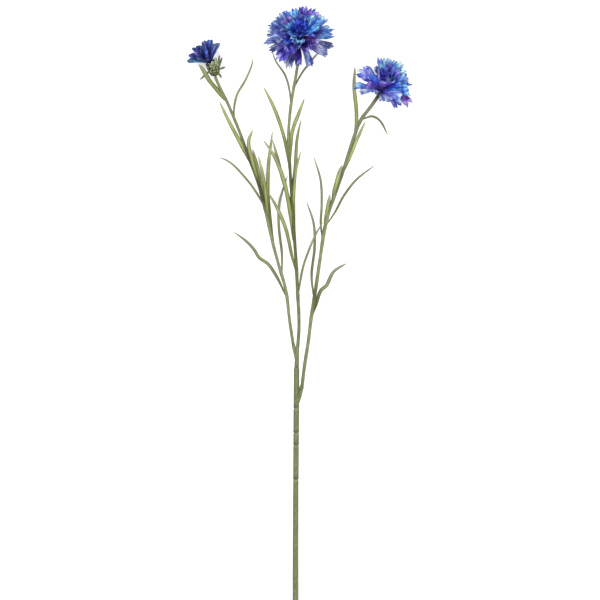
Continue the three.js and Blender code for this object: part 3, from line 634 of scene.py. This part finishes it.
class Head:
    """A head's base, its axis and two directions square to it, ex level."""

    def __init__(self, base, axis):
        self.base = base
        self.axis = unit(np.array(axis, float))
        level = np.array((1, 0, 0) if abs(self.axis[2]) > 0.7 else (-self.axis[1], self.axis[0], 0), float)
        self.ex = unit(level - self.axis * (level @ self.axis))
        self.ey = np.cross(self.axis, self.ex)

    def towards(self, azimuth, polar):
        """The direction at an azimuth about the axis and an angle off it, both in degrees."""
        a, p = math.radians(azimuth), math.radians(polar)
        radial = self.ex * math.cos(a) + self.ey * math.sin(a)
        return radial * math.sin(p) + self.axis * math.cos(p)

    def along(self, distance):
        """The place on the axis at a distance from the base."""
        return self.base + self.axis * distance


def level_axis(heading, lift=0):
    """An axis with a heading on the sheet, lifted off it by lift degrees."""
    flat = math.cos(math.radians(lift))
    h = math.radians(heading)
    return (flat * math.cos(h), flat * math.sin(h), math.sin(math.radians(lift)))


MIDDLE_HEAD = Head(at(299.2, 42.4, 26.6), (0.03, 0.37, 0.93))
RIGHT_HEAD = Head(at(377.8, 96.5, 30), level_axis(60, 9))
BUD_HEAD = Head(at(215, 76.1, 16.6), level_axis(101))
BUD_FAN = Head(at(209.6, 61.4, 16.6), level_axis(123))

# Trumpet florets: azimuth, angle off the axis, length, width at the rim, lobes, roll, cup, dye.
MIDDLE_OUTER = (
    (186, 88, 36.5, 8, 3, 0, 70, "pale"),
    (171, 80, 35.5, 14, 4, 0, 55, "grey"),
    (151, 86, 36, 14, 4, 20, 60, "dusk"),
    (131, 80, 36, 15, 4, -15, 75, "dusk"),
    (108, 85, 35, 18, 5, 0, 50, "sky"),
    (85, 78, 37, 13, 3, 25, 75, "purple"),
    (61, 84, 37, 17, 4, 0, 60, "magenta"),
    (37, 79, 37, 16, 4, -20, 60, "sky_rim"),
    (13, 84, 36, 17, 4, 0, 55, "sky_rim"),
    (-12, 88, 36, 9, 3, 20, 70, "lilac"),
    (-31, 84, 33.5, 13, 3, 0, 60, "lilac"),
    (-70, 86, 33, 11, 3, -25, 75, "pale"),
    (-92, 78, 32, 10, 3, 0, 80, "purple"),
    (-111, 88, 34, 13, 4, 25, 65, "lilac"),
    (-131, 80, 35, 16, 4, 0, 70, "violet"),
    (-158, 88, 34, 9, 3, -20, 65, "lilac"),
)
MIDDLE_INNER = (
    (-157, 58, 26, 14, 4, 0, 100, "violet"),
    (168, 54, 26, 13, 4, 0, 70, "grey"),
    (133, 56, 28, 15, 4, -15, 60, "magenta"),
    (103, 56, 27, 15, 4, 10, 60, "sky"),
    (74, 56, 26, 12, 3, 20, 75, "royal"),
    (94, 34, 24, 15, 4, 0, 80, "night"),
    (128, 36, 20, 11, 3, 0, 90, "night"),
    (60, 34, 21, 11, 3, 0, 90, "night"),
    (33, 54, 29, 19, 5, 0, 45, "ice"),
    (5, 62, 28, 14, 4, 0, 65, "violet"),
    (-22, 62, 25, 12, 4, 0, 75, "magenta"),
    (-66, 62, 25, 12, 3, 15, 70, "purple"),
    (-118, 62, 29, 16, 4, 0, 60, "violet"),
    (-38, 48, 17, 11, 3, 0, 100, "wine"),
    (-165, 42, 16, 9, 2, 0, 110, "frost"),
    (-122, 48, 17, 11, 2, 0, 110, "frost"),
    (-80, 44, 15, 10, 2, 0, 110, "frost"),
    (2, 42, 16, 10, 2, 0, 110, "frost"),
    # Short rolled florets that fill the bloom as far as its tuft.
    (115, 44, 24, 9, 2, 35, 95, "sky"),
    (142, 42, 25, 12, 3, -25, 70, "ice"),
    (160, 48, 25, 9, 3, 40, 90, "dusk"),
    (-172, 50, 24, 9, 2, -30, 100, "violet"),
    (-140, 52, 26, 10, 3, 35, 95, "royal"),
    (-104, 50, 26, 10, 3, -35, 95, "dusk"),
    (-50, 56, 25, 9, 2, 40, 100, "purple"),
    (-10, 50, 24, 9, 3, -40, 95, "indigo"),
    (18, 48, 28, 11, 3, 30, 75, "ice"),
    (48, 44, 27, 10, 3, -35, 90, "ice"),
    (68, 46, 25, 9, 2, 30, 95, "mist"),
    (86, 50, 27, 9, 3, -25, 95, "violet"),
    (-30, 40, 20, 9, 2, 30, 110, "wine"),
    (-165, 33, 22, 10, 3, 20, 45, "frost"),
    (-125, 37, 23, 11, 3, -20, 40, "frost"),
    (-85, 33, 22, 10, 3, 20, 45, "frost"),
)
RIGHT_OUTER = (
    (19, 69, 34, 17, 4, 75, 55, "grey"),
    (10, 108, 29, 8, 3, 85, 60, "mist"),
    (-28, 120, 25, 10, 3, 70, 60, "lilac"),
    (46, 68, 27, 14, 3, 50, 80, "cobalt"),
    (34, 88, 19, 12, 3, 70, 80, "purple"),
    (76, 58, 29, 18, 5, 15, 60, "plum"),
    (138, 80, 31, 17, 5, -60, 55, "grey"),
    (150, 61, 34, 16, 4, -70, 60, "ice"),
    (172, 82, 34, 14, 4, -70, 60, "magenta"),
    (-160, 96, 28, 12, 3, -75, 65, "violet"),
    (-172, 108, 24, 6, 2, -80, 65, "violet"),
    (-135, 62, 32, 15, 3, -40, 60, "night"),
    (-90, 80, 34.2, 14, 3, 0, 60, "violet"),
    (-48, 76, 34, 14, 3, 50, 60, "sky_rim"),
    (-12, 84, 31, 12, 3, 80, 60, "violet"),
    (125, 124, 13, 9, 2, 40, 50, "pale"),
    (146, 102, 16, 10, 3, 50, 50, "pale"),
    (62, 106, 12, 9, 2, 0, 50, "pale"),
)
RIGHT_INNER = (
    (31, 50, 28, 7, 2, 60, 70, "lilac"),
    (44, 33, 37, 17, 5, 50, 45, "glow"),
    (66, 40, 25, 15, 4, 35, 70, "indigo"),
    (-95, 22, 34, 15, 4, 0, 60, "glow"),
    (120, 30, 30, 12, 3, -35, 75, "violet"),
    (145, 42, 34, 20, 5, -55, 45, "glow"),
    (112, 38, 24, 14, 4, -30, 70, "royal"),
    (-50, 46, 31, 14, 3, 0, 60, "royal"),
    (-120, 44, 32, 15, 4, 0, 60, "violet"),
    # Short rolled florets that fill the bloom as far as its tuft.
    (20, 44, 26, 9, 2, 40, 90, "sky_rim"),
    (60, 28, 32, 8, 2, 10, 95, "purple"),
    (92, 44, 24, 9, 3, -20, 90, "mist"),
    (104, 56, 25, 12, 3, 10, 70, "plum"),
    (134, 58, 28, 10, 3, -30, 80, "royal"),
    (160, 46, 30, 9, 2, -50, 90, "sky"),
    (100, 22, 30, 9, 3, -10, 85, "glow"),
)

# Where florets spring from: profile of the core, place of the hub, root radius, bend.
Ring = namedtuple("Ring", "core hub root_radius bend")
OUTER_RING = Ring(((4.1, 3.6), (5.4, 4.2), (6.7, 3.6)), 5.4, 1.8, 8)
INNER_RING = Ring(((6.6, 2.6), (8.7, 3.6), (10.4, 2.6)), 8.8, 2, 14)
# Turned solids: distance along the head's axis, radius.
HEART_CORE = ((10.6, 1.4), (11.4, 1.6), (12.6, 1.2))
HEART_HUB = 11.2
TUFT_RING = Ring((), HEART_HUB, 1, 6)
BLOOM_CUP = ((0, 1.6), (0.5, 2), (1.2, 2.4), (2.2, 2.6), (3.2, 2.7), (3.7, 2.6), (4, 2.4))


def turned(skin, head, profile, sides, colour):
    """A plain solid turned about a head's axis."""
    angle = around(sides)
    circle = head.ex * np.cos(angle)[:, None] + head.ey * np.sin(angle)[:, None]
    rings = np.stack([head.along(a) + circle * r for a, r in profile])
    skin.tube(rings, np.array(colour, float), np.zeros(3))


def folded(rise):
    """Painted shade and highlight over folds that rise by some millimetres: shade deeper and bluer in the
    valleys, highlight on the crests.
    """
    tone = 1 + FOLD_SHADE * np.clip(rise, -1, FOLD_LIGHT)
    return PETAL_GAIN * tone[..., None] ** FOLD_TINT


def dark_line(gap, share, strength, slope, start):
    """A dark line where gap is 0, that grows along a floret."""
    return bump(gap, *strength) * np.clip(share * slope - start, 0, 1)


def petal_dye(name, share, across, edge, seam, blot, fleck, seed):
    """Dye over a floret: dark root, partly painted shade deep in the bloom, then the dye's own middle and
    tip, with lengthwise streaks, dark rim lines and painted shade between lobes.
    """
    root, middle, tip, outline = DYES[name]
    streak = sum(
        strength * np.sin(math.tau * (count * across + draw(seed + step)))
        for strength, count, step in STREAKS
    )
    reach = share + (streak - BLOT_SHIFT * blot + fleck) * share
    half_way = blend(np.array(root), np.array(middle), 0.5)
    colours = wash(tuple(zip(DYE_STOPS, (root, half_way, middle, tip))), reach)
    stain = DYES["violet" if draw(seed + 0.4) < VIOLET_CHANCE else "sky"][1]
    colours = blend(colours, np.array(stain), np.clip(blot, 0, 1)[..., None] * BLOT_STAIN)
    rim = dark_line(edge, share, *RIM_LINE)
    # Painted shade in the valleys between lobes.
    groove = dark_line(seam, share, *SEAM_SHADE)
    return colours * (1 - outline * np.maximum(rim, groove)[..., None]) ** LINE_TINT


def trumpet(skin, head, ring, azimuth, polar, length, width, lobes, roll, cup, dye, seed):
    """One trumpet floret: a fan rolled about its midline, wide at its toothed rim."""
    hub = head.along(ring.hub)
    root = hub + head.towards(azimuth, 90) * ring.root_radius
    knee = root + head.towards(azimuth, polar - ring.bend) * length * PETAL_KNEE
    tip = hub + head.towards(azimuth, polar) * length
    notch = between(seed + 0.3, *NOTCH)
    roll = roll + between(seed + 0.6, -ROLL_STRAY, ROLL_STRAY)
    across = np.linspace(0, 1, COLUMNS_PER_LOBE * lobes + 1)
    row = np.linspace(0, 1, PETAL_ROWS + 1)[:, None]
    lobe = np.minimum((across * lobes).astype(int), lobes - 1)
    to_notch = np.abs(2 * (across * lobes - lobe) - 1)
    lobe_length = np.array([between(seed + 50 + k, *LOBE_STRAY) for k in lobe])
    teeth = across * lobes * TEETH_PER_LOBE
    bite = np.array([between(seed + 70 + k, *TOOTH_BITE) for k in teeth.astype(int)])
    reach = 1 - notch * to_notch ** between(seed + 0.9, *NOTCH_POWER)
    reach = reach - SHOULDER * np.abs(2 * across - 1) ** 4
    reach = reach + lobe_length * (1 - to_notch) - bite * np.abs(2 * (teeth % 1) - 1)
    share = row * blend(1, reach, row**3)
    centre, tangent = arch(root, knee, tip, share[..., None])
    side = np.broadcast_to(head.towards(azimuth + 90, 90), centre.shape)
    side = turn_about(side, tangent, np.radians(roll) * blend(ROLL_AT_ROOT, 1, share))
    up = np.cross(tangent, side)
    fan = np.sin(np.minimum(1, share / FAN_FULL) * math.pi / 2) ** FAN_POWER
    half = blend(ROOT_HALF_WIDTH, width / 2, fan)
    arc = math.radians(cup)
    angle = arc * (2 * across - 1)
    flick = np.array([between(seed + 2 * k + 1, *FLICK) for k in lobe]) * (1 - to_notch)
    pleat = PLEAT * np.cos(math.tau * across * lobes) * fan * row
    flat = centre + side * (half * (2 * across - 1))[..., None]
    crumple = sum(ripple(flat, seed + step, *size) for step, size in CRUMPLES) * row
    lift = half / arc * (1 - np.cos(angle)) - flick * length * row**3 + pleat + crumple
    grid = centre + side * (half / arc * np.sin(angle))[..., None] + up * lift[..., None]
    edge = np.minimum(np.minimum(across, 1 - across) * 2 * half, (1 - row) * reach * length)
    seam = np.abs(across * lobes - np.round(across * lobes)) / lobes * 2 * half
    blot, fleck = ripple(flat, seed + 9, *BLOT), ripple(flat, seed + 15, *FLECK)
    dyes = petal_dye(dye, share, across, edge, seam, blot, fleck, seed)
    # Painted shade in the valleys of the crumples and pleats, painted highlight on their crests.
    dyes = dyes * folded(crumple + pleat)
    lays = spread_out((2 * across - 1) * half, share * length, seed)
    skin.sheet(grid, PETAL_THICKNESS, dyes, lays)


def petal_ring(skin, head, ring, florets, first_seed):
    """A ring of trumpet florets with the core that they stand on."""
    turned(skin, head, ring.core, CORE_SIDES, DYES["night"][0])
    for i, floret in enumerate(florets):
        trumpet(skin, head, ring, *floret, first_seed + 7 * i)


def tube_floret(skin, head, along, azimuth, polar, length, radius, dye, seed, bend=12, spread=0.6):
    """A slim closed floret with a rounded, creased end."""
    hub = head.along(along)
    root = hub + head.towards(azimuth, 90) * spread
    knee = root + head.towards(azimuth, polar - bend) * length * TUBE_KNEE
    tip = hub + head.towards(azimuth, polar) * length
    wall = np.linspace(0, TUBE_END_FROM, TUBE_WALL_ROWS)
    rounding = np.sin(np.linspace(0, 1, TUBE_END_ROWS + 1)[1:] * math.pi / 2)
    t = np.concatenate((wall, TUBE_END_FROM + TUBE_END_LENGTH * rounding))
    centre, tangent = arch(root, knee, tip, t[:, None])
    side = np.broadcast_to(head.towards(azimuth + 90, 90), centre.shape)
    sway = TUBE_SWAY * np.sin(t * between(seed + 0.2, 4, 7) + between(seed + 0.4, 0, 6)) * t
    centre = centre + side * sway[:, None]
    up = np.cross(tangent, side)
    closing = np.maximum(0, t - TUBE_END_FROM) / TUBE_END_LENGTH
    size = np.interp(t, *np.array(TUBE_PROFILE).T) * np.sqrt(np.maximum(END_BLUNTNESS, 1 - closing**2))
    angle = around(TUBE_SIDES)
    waves = np.cos(TUBE_CREASES * angle + between(seed, 0, 6))
    crease = 1 + TUBE_CREASE_DEPTH * waves[None] * t[:, None]
    ring = side[:, None] * np.cos(angle)[None, :, None] - up[:, None] * np.sin(angle)[None, :, None]
    rings = centre[:, None] + ring[:, ::-1] * (radius * size[:, None] * crease)[..., None]
    root_dye, middle, end, _ = DYES[dye]
    dyes = wash(tuple(zip(TUBE_STOPS, (root_dye, middle, end, middle))), t)[:, None]
    # Painted shade on the sides and underside of the tube, and painted light and shade over its creases.
    shade = TUBE_SHADE * np.cos(angle) ** 2 + TUBE_UNDERSIDE_SHADE * (1 - np.sin(angle))
    dyes = dyes * (1 + ripple(rings, seed, *TUBE_CLOUD)[..., None])
    shade = (1 - shade[::-1] * t[:, None] ** 0.5)[..., None] ** TUBE_TINT
    dyes = dyes * (1 + TUBE_CREASE_LIGHT_AND_SHADE * (crease[..., ::-1, None] - 1)) * shade
    lays = spread_out(angle[None] * radius, t[:, None] * length, seed)
    skin.tube(rings, dyes, lays)


# The tuft in the middle of a bloom: azimuth, angle off the axis, length, radius, dye.
MIDDLE_HEART = (
    (90, 18, 15, 1.3, "night"),
    (35, 18, 14, 1.2, "night"),
    (145, 18, 14, 1.2, "night"),
    (-145, 17, 12, 1.3, "royal"),
    (-90, 15, 11, 1.3, "frost"),
    (-35, 18, 12, 1.2, "night"),
)
RIGHT_HEART = (
    (80, 16, 14, 1.2, "night"),
    (150, 16, 13, 1.2, "night"),
    (-110, 14, 14, 1.2, "night"),
    (-20, 16, 12, 1.2, "night"),
    (30, 18, 14, 1.2, "royal"),
)
# The small trumpet beside each tube: turn, lean and reach beyond it, then width to cup.
TUFT_STEP = (35, 3, 1)
TUFT_FLORET = (7, 2, 0, 110)


def heart(skin, head, florets, first_seed):
    """The tuft: tube florets, each with a small trumpet beside it."""
    turned(skin, head, HEART_CORE, HEART_SIDES, DYES["night"][0])
    for i, (azimuth, polar, length, radius, dye) in enumerate(florets):
        seed = first_seed + i
        tube_floret(skin, head, HEART_HUB, azimuth, polar, length, radius, dye, seed)
        beside = np.add((azimuth, polar, length), TUFT_STEP).tolist()
        trumpet(skin, head, TUFT_RING, *beside, *TUFT_FLORET, dye, seed + 40)


# ---- Bud ----

CALYX_PROFILE = ((0, 1.6), (1.2, 3.1), (4, 4.9), (7.6, 5.6), (11, 5), (13, 4.3))
BUD_CORE = ((13.4, 3.6), (14.8, 3.8), (16.8, 2.8))
# Rows of large scales: place along the axis, count, distance from it, length, lean.
SCALE_ROWS = (
    (2, 6, 3.6, 6.5, 14),
    (4.6, 6, 4.7, 7.5, 4),
    (7.6, 8, 5.1, 8, -4),
)
# Small finger scales between the large ones, given in the same way.
FINGER_ROWS = (
    (0.7, 7, 2.4, 3.6, 34),
    (2.8, 9, 4.1, 3.8, 22),
    (5.2, 10, 5, 3.8, 12),
    (7.6, 10, 5.5, 3.8, 6),
    (9.8, 9, 5.2, 3.6, 2),
)
# How much further scales reach away from the florets, and how many degrees fingers stray.
SCALE_SKEW = 0.42
FINGER_STRAY = 8
# Free bracts: azimuth, place along the axis, distance from it, length, lean.
FREE_BRACTS = (
    (175, 9, 5, 11.5, 17),
    (186, 8, 5.2, 10.5, 30),
    (176, 6, 5, 7, 82),
    (178, 2.8, 3.8, 6, 158),
    (-4, 5.6, 5, 12.5, 120),
)
# Dark bracts on the side of the calyx under the florets, given in the same way. They also stand for the deep
# shade between the leaf and the calyx.
SIDE_BRACTS = (
    (12, 4, 4.4, 10.5, 10),
    (-14, 5.5, 4.8, 9, 14),
    (34, 6.5, 5, 8.5, 8),
    (-2, 1.8, 3, 9, 24),
)
# Width, thickness and tones of each kind. Fingers and side bracts start from painted shade in the gaps at
# their roots.
SCALE = (4, 0.6, ((0, CALYX_MIDDLE), (0.3, CALYX_MIDDLE), (0.6, CALYX_PALE), (1, CALYX_PALE)))
FINGER = (2.2, 0.7, ((0, CALYX_GAP_SHADE), (0.35, CALYX_MIDDLE), (0.7, CALYX_PALE), (1, CALYX_PALE)))
FREE_BRACT = (3, 1.1, ((0, CALYX_PALE), (1, BRACT_OLIVE)))
SIDE_BRACT = (3.6, 0.7, ((0, CALYX_GAP_SHADE), (1, BRACT_BROWN_AND_SHADE)))
# Bracts widen evenly from the root, as shares of their width, then draw to a point.
BRACT_ROOT_WIDTH = 0.8
BRACT_WIDENING = 0.4
BRACT_WIDEST_AT = 0.5
BRACT_POINT = 0.003
# Fine hairs: how many, where along the calyx, and how they stand.
WOOL_HAIRS = 700
HAIR_PLACES = (0.6, 12.6)
HAIR_OFF_WALL = 0.5
HAIR_REACH = 1.3
HAIR_HALF = 0.07
HAIR_TURN = 40
HAIR_LEAN = (20, 80)
# Rings of bud florets: angle off the axis, length, dyes in their order round the ring.
BUD_RINGS = (
    (60, 22.5, "cobalt teal ink cobalt dusk steel cobalt ink teal cobalt ink".split()),
    (40, 23, "cobalt violet ink cobalt steel teal cobalt ink cobalt".split()),
    (20, 22, "ink violet cobalt teal cobalt".split()),
)
BUD_RADIUS = 2.1
BUD_SPREAD = 1.8
BUD_STAGGER = 0.4
BUD_LEAN_STRAY = 5
BUD_LENGTH_STRAY = (-2, 1)
# Shorter bud florets that fill the upper side: azimuth, angle off the axis, length, dye.
BUD_FILLERS = (
    (60, 48, 15.5, "cobalt"),
    (96, 57, 14, "violet"),
    (132, 50, 15, "ink"),
    (78, 36, 18, "ink"),
    (112, 34, 18.5, "cobalt"),
    (38, 62, 16, "teal"),
    (150, 64, 14, "cobalt"),
    (18, 54, 18, "cobalt"),
    (168, 48, 18, "steel"),
    (86, 72, 11.5, "ink"),
)
FILLER_RADIUS = 1.9


def bract(skin, head, azimuth, along, radius, length, lean, width, thick, tones):
    """A pointed scale from the calyx wall, leaning off the axis by lean degrees."""
    out = head.towards(azimuth, 90)
    side = head.towards(azimuth + 90, 90)
    heading = head.towards(azimuth, lean)
    outward = np.cross(side, heading)
    root = head.along(along) + out * radius
    share = np.linspace(0, 1, BRACT_ROWS)
    pointing = np.sqrt(np.maximum(BRACT_POINT, 1 - ((share - BRACT_WIDEST_AT) / (1 - BRACT_WIDEST_AT)) ** 2))
    widening = BRACT_ROOT_WIDTH + BRACT_WIDENING * share
    half = width / 2 * np.where(share < BRACT_WIDEST_AT, widening, pointing)
    angle = around(BRACT_SIDES)
    line = root + heading * (length * share)[:, None]
    thick = thick * np.sqrt(np.maximum(END_BLUNTNESS, 1 - share**4))
    rings = (
        line[:, None]
        + side * (half[:, None] * np.cos(angle))[..., None]
        - outward * (thick[:, None] * np.sin(angle))[..., None]
    )
    dyes = wash(tones, share)[:, None] * (1 + ripple(rings, azimuth + along, *SCALE_CLOUD)[..., None])
    # Painted shade towards the edges of each scale.
    dyes = dyes * (1 - SCALE_EDGE_SHADE * np.abs(np.cos(angle)) ** 2)[:, None]
    lays = spread_out(half[:, None] * np.cos(angle), share[:, None] * length, azimuth)
    skin.tube(rings[:, ::-1] if (np.cross(side, outward) @ heading) > 0 else rings, dyes, lays)


def bud_calyx(skin, head):
    """The calyx: a turned body, rows of scales, fingers and bracts, and wool."""
    turned(skin, head, CALYX_PROFILE, CUP_SIDES, CALYX_MIDDLE)
    for row, (along, count, radius, length, lean) in enumerate(SCALE_ROWS):
        for i in range(count):
            azimuth = (i + row / 2) / count * 360
            reach = length * (1 - SCALE_SKEW * math.cos(math.radians(azimuth)) * row / 2)
            bract(skin, head, azimuth, along, radius, reach, lean, *SCALE)
    for row, (along, count, *rest) in enumerate(FINGER_ROWS):
        for i in range(count):
            stray = between(row * 20 + i, -FINGER_STRAY, FINGER_STRAY)
            azimuth = (i + row / 3) / count * 360 + stray
            bract(skin, head, azimuth, along, *rest, *FINGER)
    for kind, bracts in ((FREE_BRACT, FREE_BRACTS), (SIDE_BRACT, SIDE_BRACTS)):
        for place in bracts:
            bract(skin, head, *place, *kind)
    wool(skin, head)


def wool(skin, head):
    """Short fine hairs that stand out of the calyx wall."""
    along, radius = np.array(CALYX_PROFILE).T
    dye = np.array(CALYX_PALE, float)
    for i in range(WOOL_HAIRS):
        place = between(700 + i, *HAIR_PLACES)
        azimuth = between(1400 + i, 0, 360)
        off_axis = np.interp(place, along, radius) + HAIR_OFF_WALL
        root = head.along(place) + head.towards(azimuth, 90) * off_axis
        side = head.towards(azimuth + 90, 90) * HAIR_HALF
        up = head.towards(azimuth, 10) * HAIR_HALF
        heading = azimuth + between(i, -HAIR_TURN, HAIR_TURN)
        tip = root + head.towards(heading, between(i + 0.5, *HAIR_LEAN)) * HAIR_REACH
        points = np.array((root - side - up, root + side - up, root + up, tip))
        skin.add(points, ((0, 1, 3), (1, 2, 3), (2, 0, 3), (0, 2, 1)), dye, np.zeros(3))


def bud_florets(skin, head, fan):
    """Rings of closed florets, with shorter ones between, on a small core."""
    turned(skin, head, BUD_CORE, CORE_SIDES, DYES["night"][0])
    for ring, (polar, length, dyes) in enumerate(BUD_RINGS):
        for i, dye in enumerate(dyes):
            seed = 300 + ring * 50 + i
            azimuth = (i + ring * BUD_STAGGER) / len(dyes) * 360
            off_axis = polar + between(seed, -BUD_LEAN_STRAY, BUD_LEAN_STRAY)
            reach = length + between(seed + 0.5, *BUD_LENGTH_STRAY)
            tube_floret(skin, fan, 0, azimuth, off_axis, reach, BUD_RADIUS, dye, seed, spread=BUD_SPREAD)
    for i, (*place, dye) in enumerate(BUD_FILLERS):
        tube_floret(skin, fan, 0, *place, FILLER_RADIUS, dye, 460 + i, spread=BUD_SPREAD)


# ---- Finishes ----

# Noise over a surface: stretch of the fibres, scale of the grain, useful range.
FIBRE_STRETCH = (2.2, 0.12, 1)
GRAIN_SCALE = 2600
NOISE_RANGE = (0.3, 0.7)
# Depth of the relief and of the light that sinks in, stray of the roughness, gloss.
RELIEF_DEPTH = 0.2
SOFT_DEPTH = 0.6
ROUGHNESS_STRAY = 0.08
GLOSS = 0.25


def put(node, inputs):
    """A node with some of its inputs set."""
    for name, value in inputs.items():
        node.inputs[name].default_value = value
    return node


def mapped(nodes, low, high, middle, stray):
    """A node that turns low to high into middle less stray to middle plus stray."""
    ends = {"From Min": low, "From Max": high, "To Min": middle - stray, "To Max": middle + stray}
    return put(nodes.new("ShaderNodeMapRange"), ends)


def attribute(nodes, name):
    """A node that reads an attribute of the mesh."""
    node = nodes.new("ShaderNodeAttribute")
    node.attribute_name = name
    return node


def surface(name):
    """A new material, its nodes and its main shader."""
    material = bpy.data.materials.new(name)
    material.use_nodes = True
    return material, material.node_tree, material.node_tree.nodes["Principled BSDF"]


def finish(name, roughness, streaks, speckle, relief, soft):
    """A dyed surface, its dye carrying painted shade and highlight: streaks along the piece, fine speckle,
    and light that sinks in by soft.
    """
    material, tree, shader = surface(name)
    nodes = tree.nodes

    def link(source, result, target, entry):
        tree.links.new(source.outputs[result], target.inputs[entry])

    dye, lay = attribute(nodes, "dye"), attribute(nodes, "lay")
    stretch = put(nodes.new("ShaderNodeMapping"), {"Scale": FIBRE_STRETCH})
    link(lay, "Vector", stretch, "Vector")
    fibre = put(nodes.new("ShaderNodeTexNoise"), {"Scale": 1, "Detail": 4})
    link(stretch, "Vector", fibre, "Vector")
    place = nodes.new("ShaderNodeTexCoord")
    grain = put(nodes.new("ShaderNodeTexNoise"), {"Scale": GRAIN_SCALE, "Detail": 2})
    link(place, "Object", grain, "Vector")
    tone = nodes.new("ShaderNodeMath")
    tone.operation = "MULTIPLY"
    for factor, (texture, strength) in enumerate(((fibre, streaks), (grain, speckle))):
        part = mapped(nodes, *NOISE_RANGE, 1, strength)
        link(texture, "Fac", part, "Value")
        link(part, "Result", tone, factor)
    colour = nodes.new("ShaderNodeVectorMath")
    colour.operation = "SCALE"
    link(dye, "Color", colour, 0)
    link(tone, "Value", colour, "Scale")
    link(colour, "Vector", shader, "Base Color")
    bumps = put(nodes.new("ShaderNodeBump"), {"Strength": relief, "Distance": RELIEF_DEPTH * MM})
    link(tone, "Value", bumps, "Height")
    link(bumps, "Normal", shader, "Normal")
    dull = mapped(nodes, 0, 1, roughness, ROUGHNESS_STRAY)
    link(fibre, "Fac", dull, "Value")
    link(dull, "Result", shader, "Roughness")
    put(shader, {"Subsurface Weight": soft, "Subsurface Radius": (1, 1, 1)})
    put(shader, {"Subsurface Scale": SOFT_DEPTH * MM, "Specular IOR Level": GLOSS})
    return material


flocked = finish("flocked_stem", roughness=0.85, streaks=0.12, speckle=0.3, relief=0.6, soft=0)
leafy = finish("matte_leaf", roughness=0.6, streaks=0.14, speckle=0.12, relief=0.3, soft=0.2)
woolly = finish("woolly_calyx", roughness=0.9, streaks=0.1, speckle=0.35, relief=0.8, soft=0)
cloth = finish("dyed_cloth", roughness=0.62, streaks=0.16, speckle=0.08, relief=0.35, soft=0.3)

# ---- The pieces ----


def make(name, node, slot, material, build, *parts):
    """Builds one piece that stands for a CAD node."""
    skin = Skin()
    build(skin, *parts)
    skin.piece(name, node, material)


def middle_branch(skin):
    """The middle branch with the fork at its foot."""
    branch(skin, MIDDLE_BRANCH, 1.75, 1.5, MIDDLE_LEAVES, MIDDLE_TONES)
    fork(skin)


# Branches: points, radii at the foot and at the top, leaves, tones.
LEFT = (LEFT_BRANCH, 1.65, 1.5, LEFT_LEAVES, LEFT_TONES)
RIGHT = (RIGHT_BRANCH, 1.75, 1.85, RIGHT_LEAVES, RIGHT_TONES)
# Blooms: name, head, then florets and first seed of the outer ring, inner ring and tuft.
BLOOMS = (
    ("middle", MIDDLE_HEAD, (MIDDLE_OUTER, 11), (MIDDLE_INNER, 211), (MIDDLE_HEART, 500)),
    ("right", RIGHT_HEAD, (RIGHT_OUTER, 811), (RIGHT_INNER, 911), (RIGHT_HEART, 600)),
)

make("stem", "main_stem", "stem", flocked, main_stem)
make("left_leafy_branch", "branch_left", "leaf", leafy, branch, *LEFT)
make("middle_leafy_branch", "branch_middle", "leaf", leafy, middle_branch)
make("right_leafy_branch", "branch_right", "leaf", leafy, branch, *RIGHT)
make("calyx_scales", "bud_calyx", "calyx", woolly, bud_calyx, BUD_HEAD)
make("bud_tubes", "bud_florets", "bud_blue", cloth, bud_florets, BUD_HEAD, BUD_FAN)
for bloom, head, outer, inner, tuft in BLOOMS:
    make(f"{bloom}_collar", f"{bloom}_cup", "cup", leafy, turned, head, BLOOM_CUP, CUP_SIDES, DARK_END)
    petals = (cloth, petal_ring, head)
    make(f"{bloom}_outer_ring", f"{bloom}_outer_petals", "petal_violet", *petals, OUTER_RING, *outer)
    make(f"{bloom}_inner_ring", f"{bloom}_inner_petals", "petal_blue", *petals, INNER_RING, *inner)
    make(f"{bloom}_tuft", f"{bloom}_heart", "heart", cloth, heart, head, *tuft)

# ---- Floor, light and camera ----

# The camera stands far off and sees the whole sheet.
VIEW_WIDTH = 600
VIEW_CENTRE = at(300, 300, 20)
LENS = 500
SENSOR = 36
# The floor and lamps are in metres.
FLOOR_HALF = 6
FLOOR_TONE = 0.96
SKY_STRENGTH = 1.5


def floor():
    """A pale square floor at height 0."""
    mesh = bpy.data.meshes.new("floor")
    corners = [(x * FLOOR_HALF, y * FLOOR_HALF, 0) for x, y in ((-1, -1), (1, -1), (1, 1), (-1, 1))]
    mesh.from_pydata(corners, [], [(0, 1, 2, 3)])
    material, _, shader = surface("pale_floor")
    put(shader, {"Base Color": (FLOOR_TONE, FLOOR_TONE, FLOOR_TONE, 1), "Roughness": 0.9})
    mesh.materials.append(material)
    obj = placed("floor", mesh)


def key_lamp(place, size, watts):
    """An area lamp turned to the middle of the spray."""
    lamp = bpy.data.lights.new("key", "AREA")
    lamp.shape = "DISK"
    lamp.size = size
    lamp.energy = watts
    obj = placed("key", lamp)
    away = unit(np.array(place, float))
    obj.location = place
    obj.rotation_euler = (math.acos(away[2]), 0, math.atan2(away[0], -away[1]))


def sky(strength):
    """Even white light from all round."""
    world = bpy.data.worlds.new("studio")
    world.use_nodes = True
    put(world.node_tree.nodes["Background"], {"Color": (1, 1, 1, 1), "Strength": strength})
    bpy.context.scene.world = world


def camera():
    """A camera straight above the middle of the sheet."""
    data = bpy.data.cameras.new("camera")
    data.lens = LENS
    data.sensor_width = SENSOR
    data.clip_end = 100
    obj = placed("camera", data)
    distance = VIEW_WIDTH * LENS / SENSOR
    obj.location = (VIEW_CENTRE + np.array((0, 0, distance))) * MM
    bpy.context.scene.camera = obj


floor()
sky(SKY_STRENGTH)
key_lamp((-1.3, 1, 1.5), size=0.8, watts=25)
camera()
bpy.context.scene.view_settings.view_transform = "Standard"
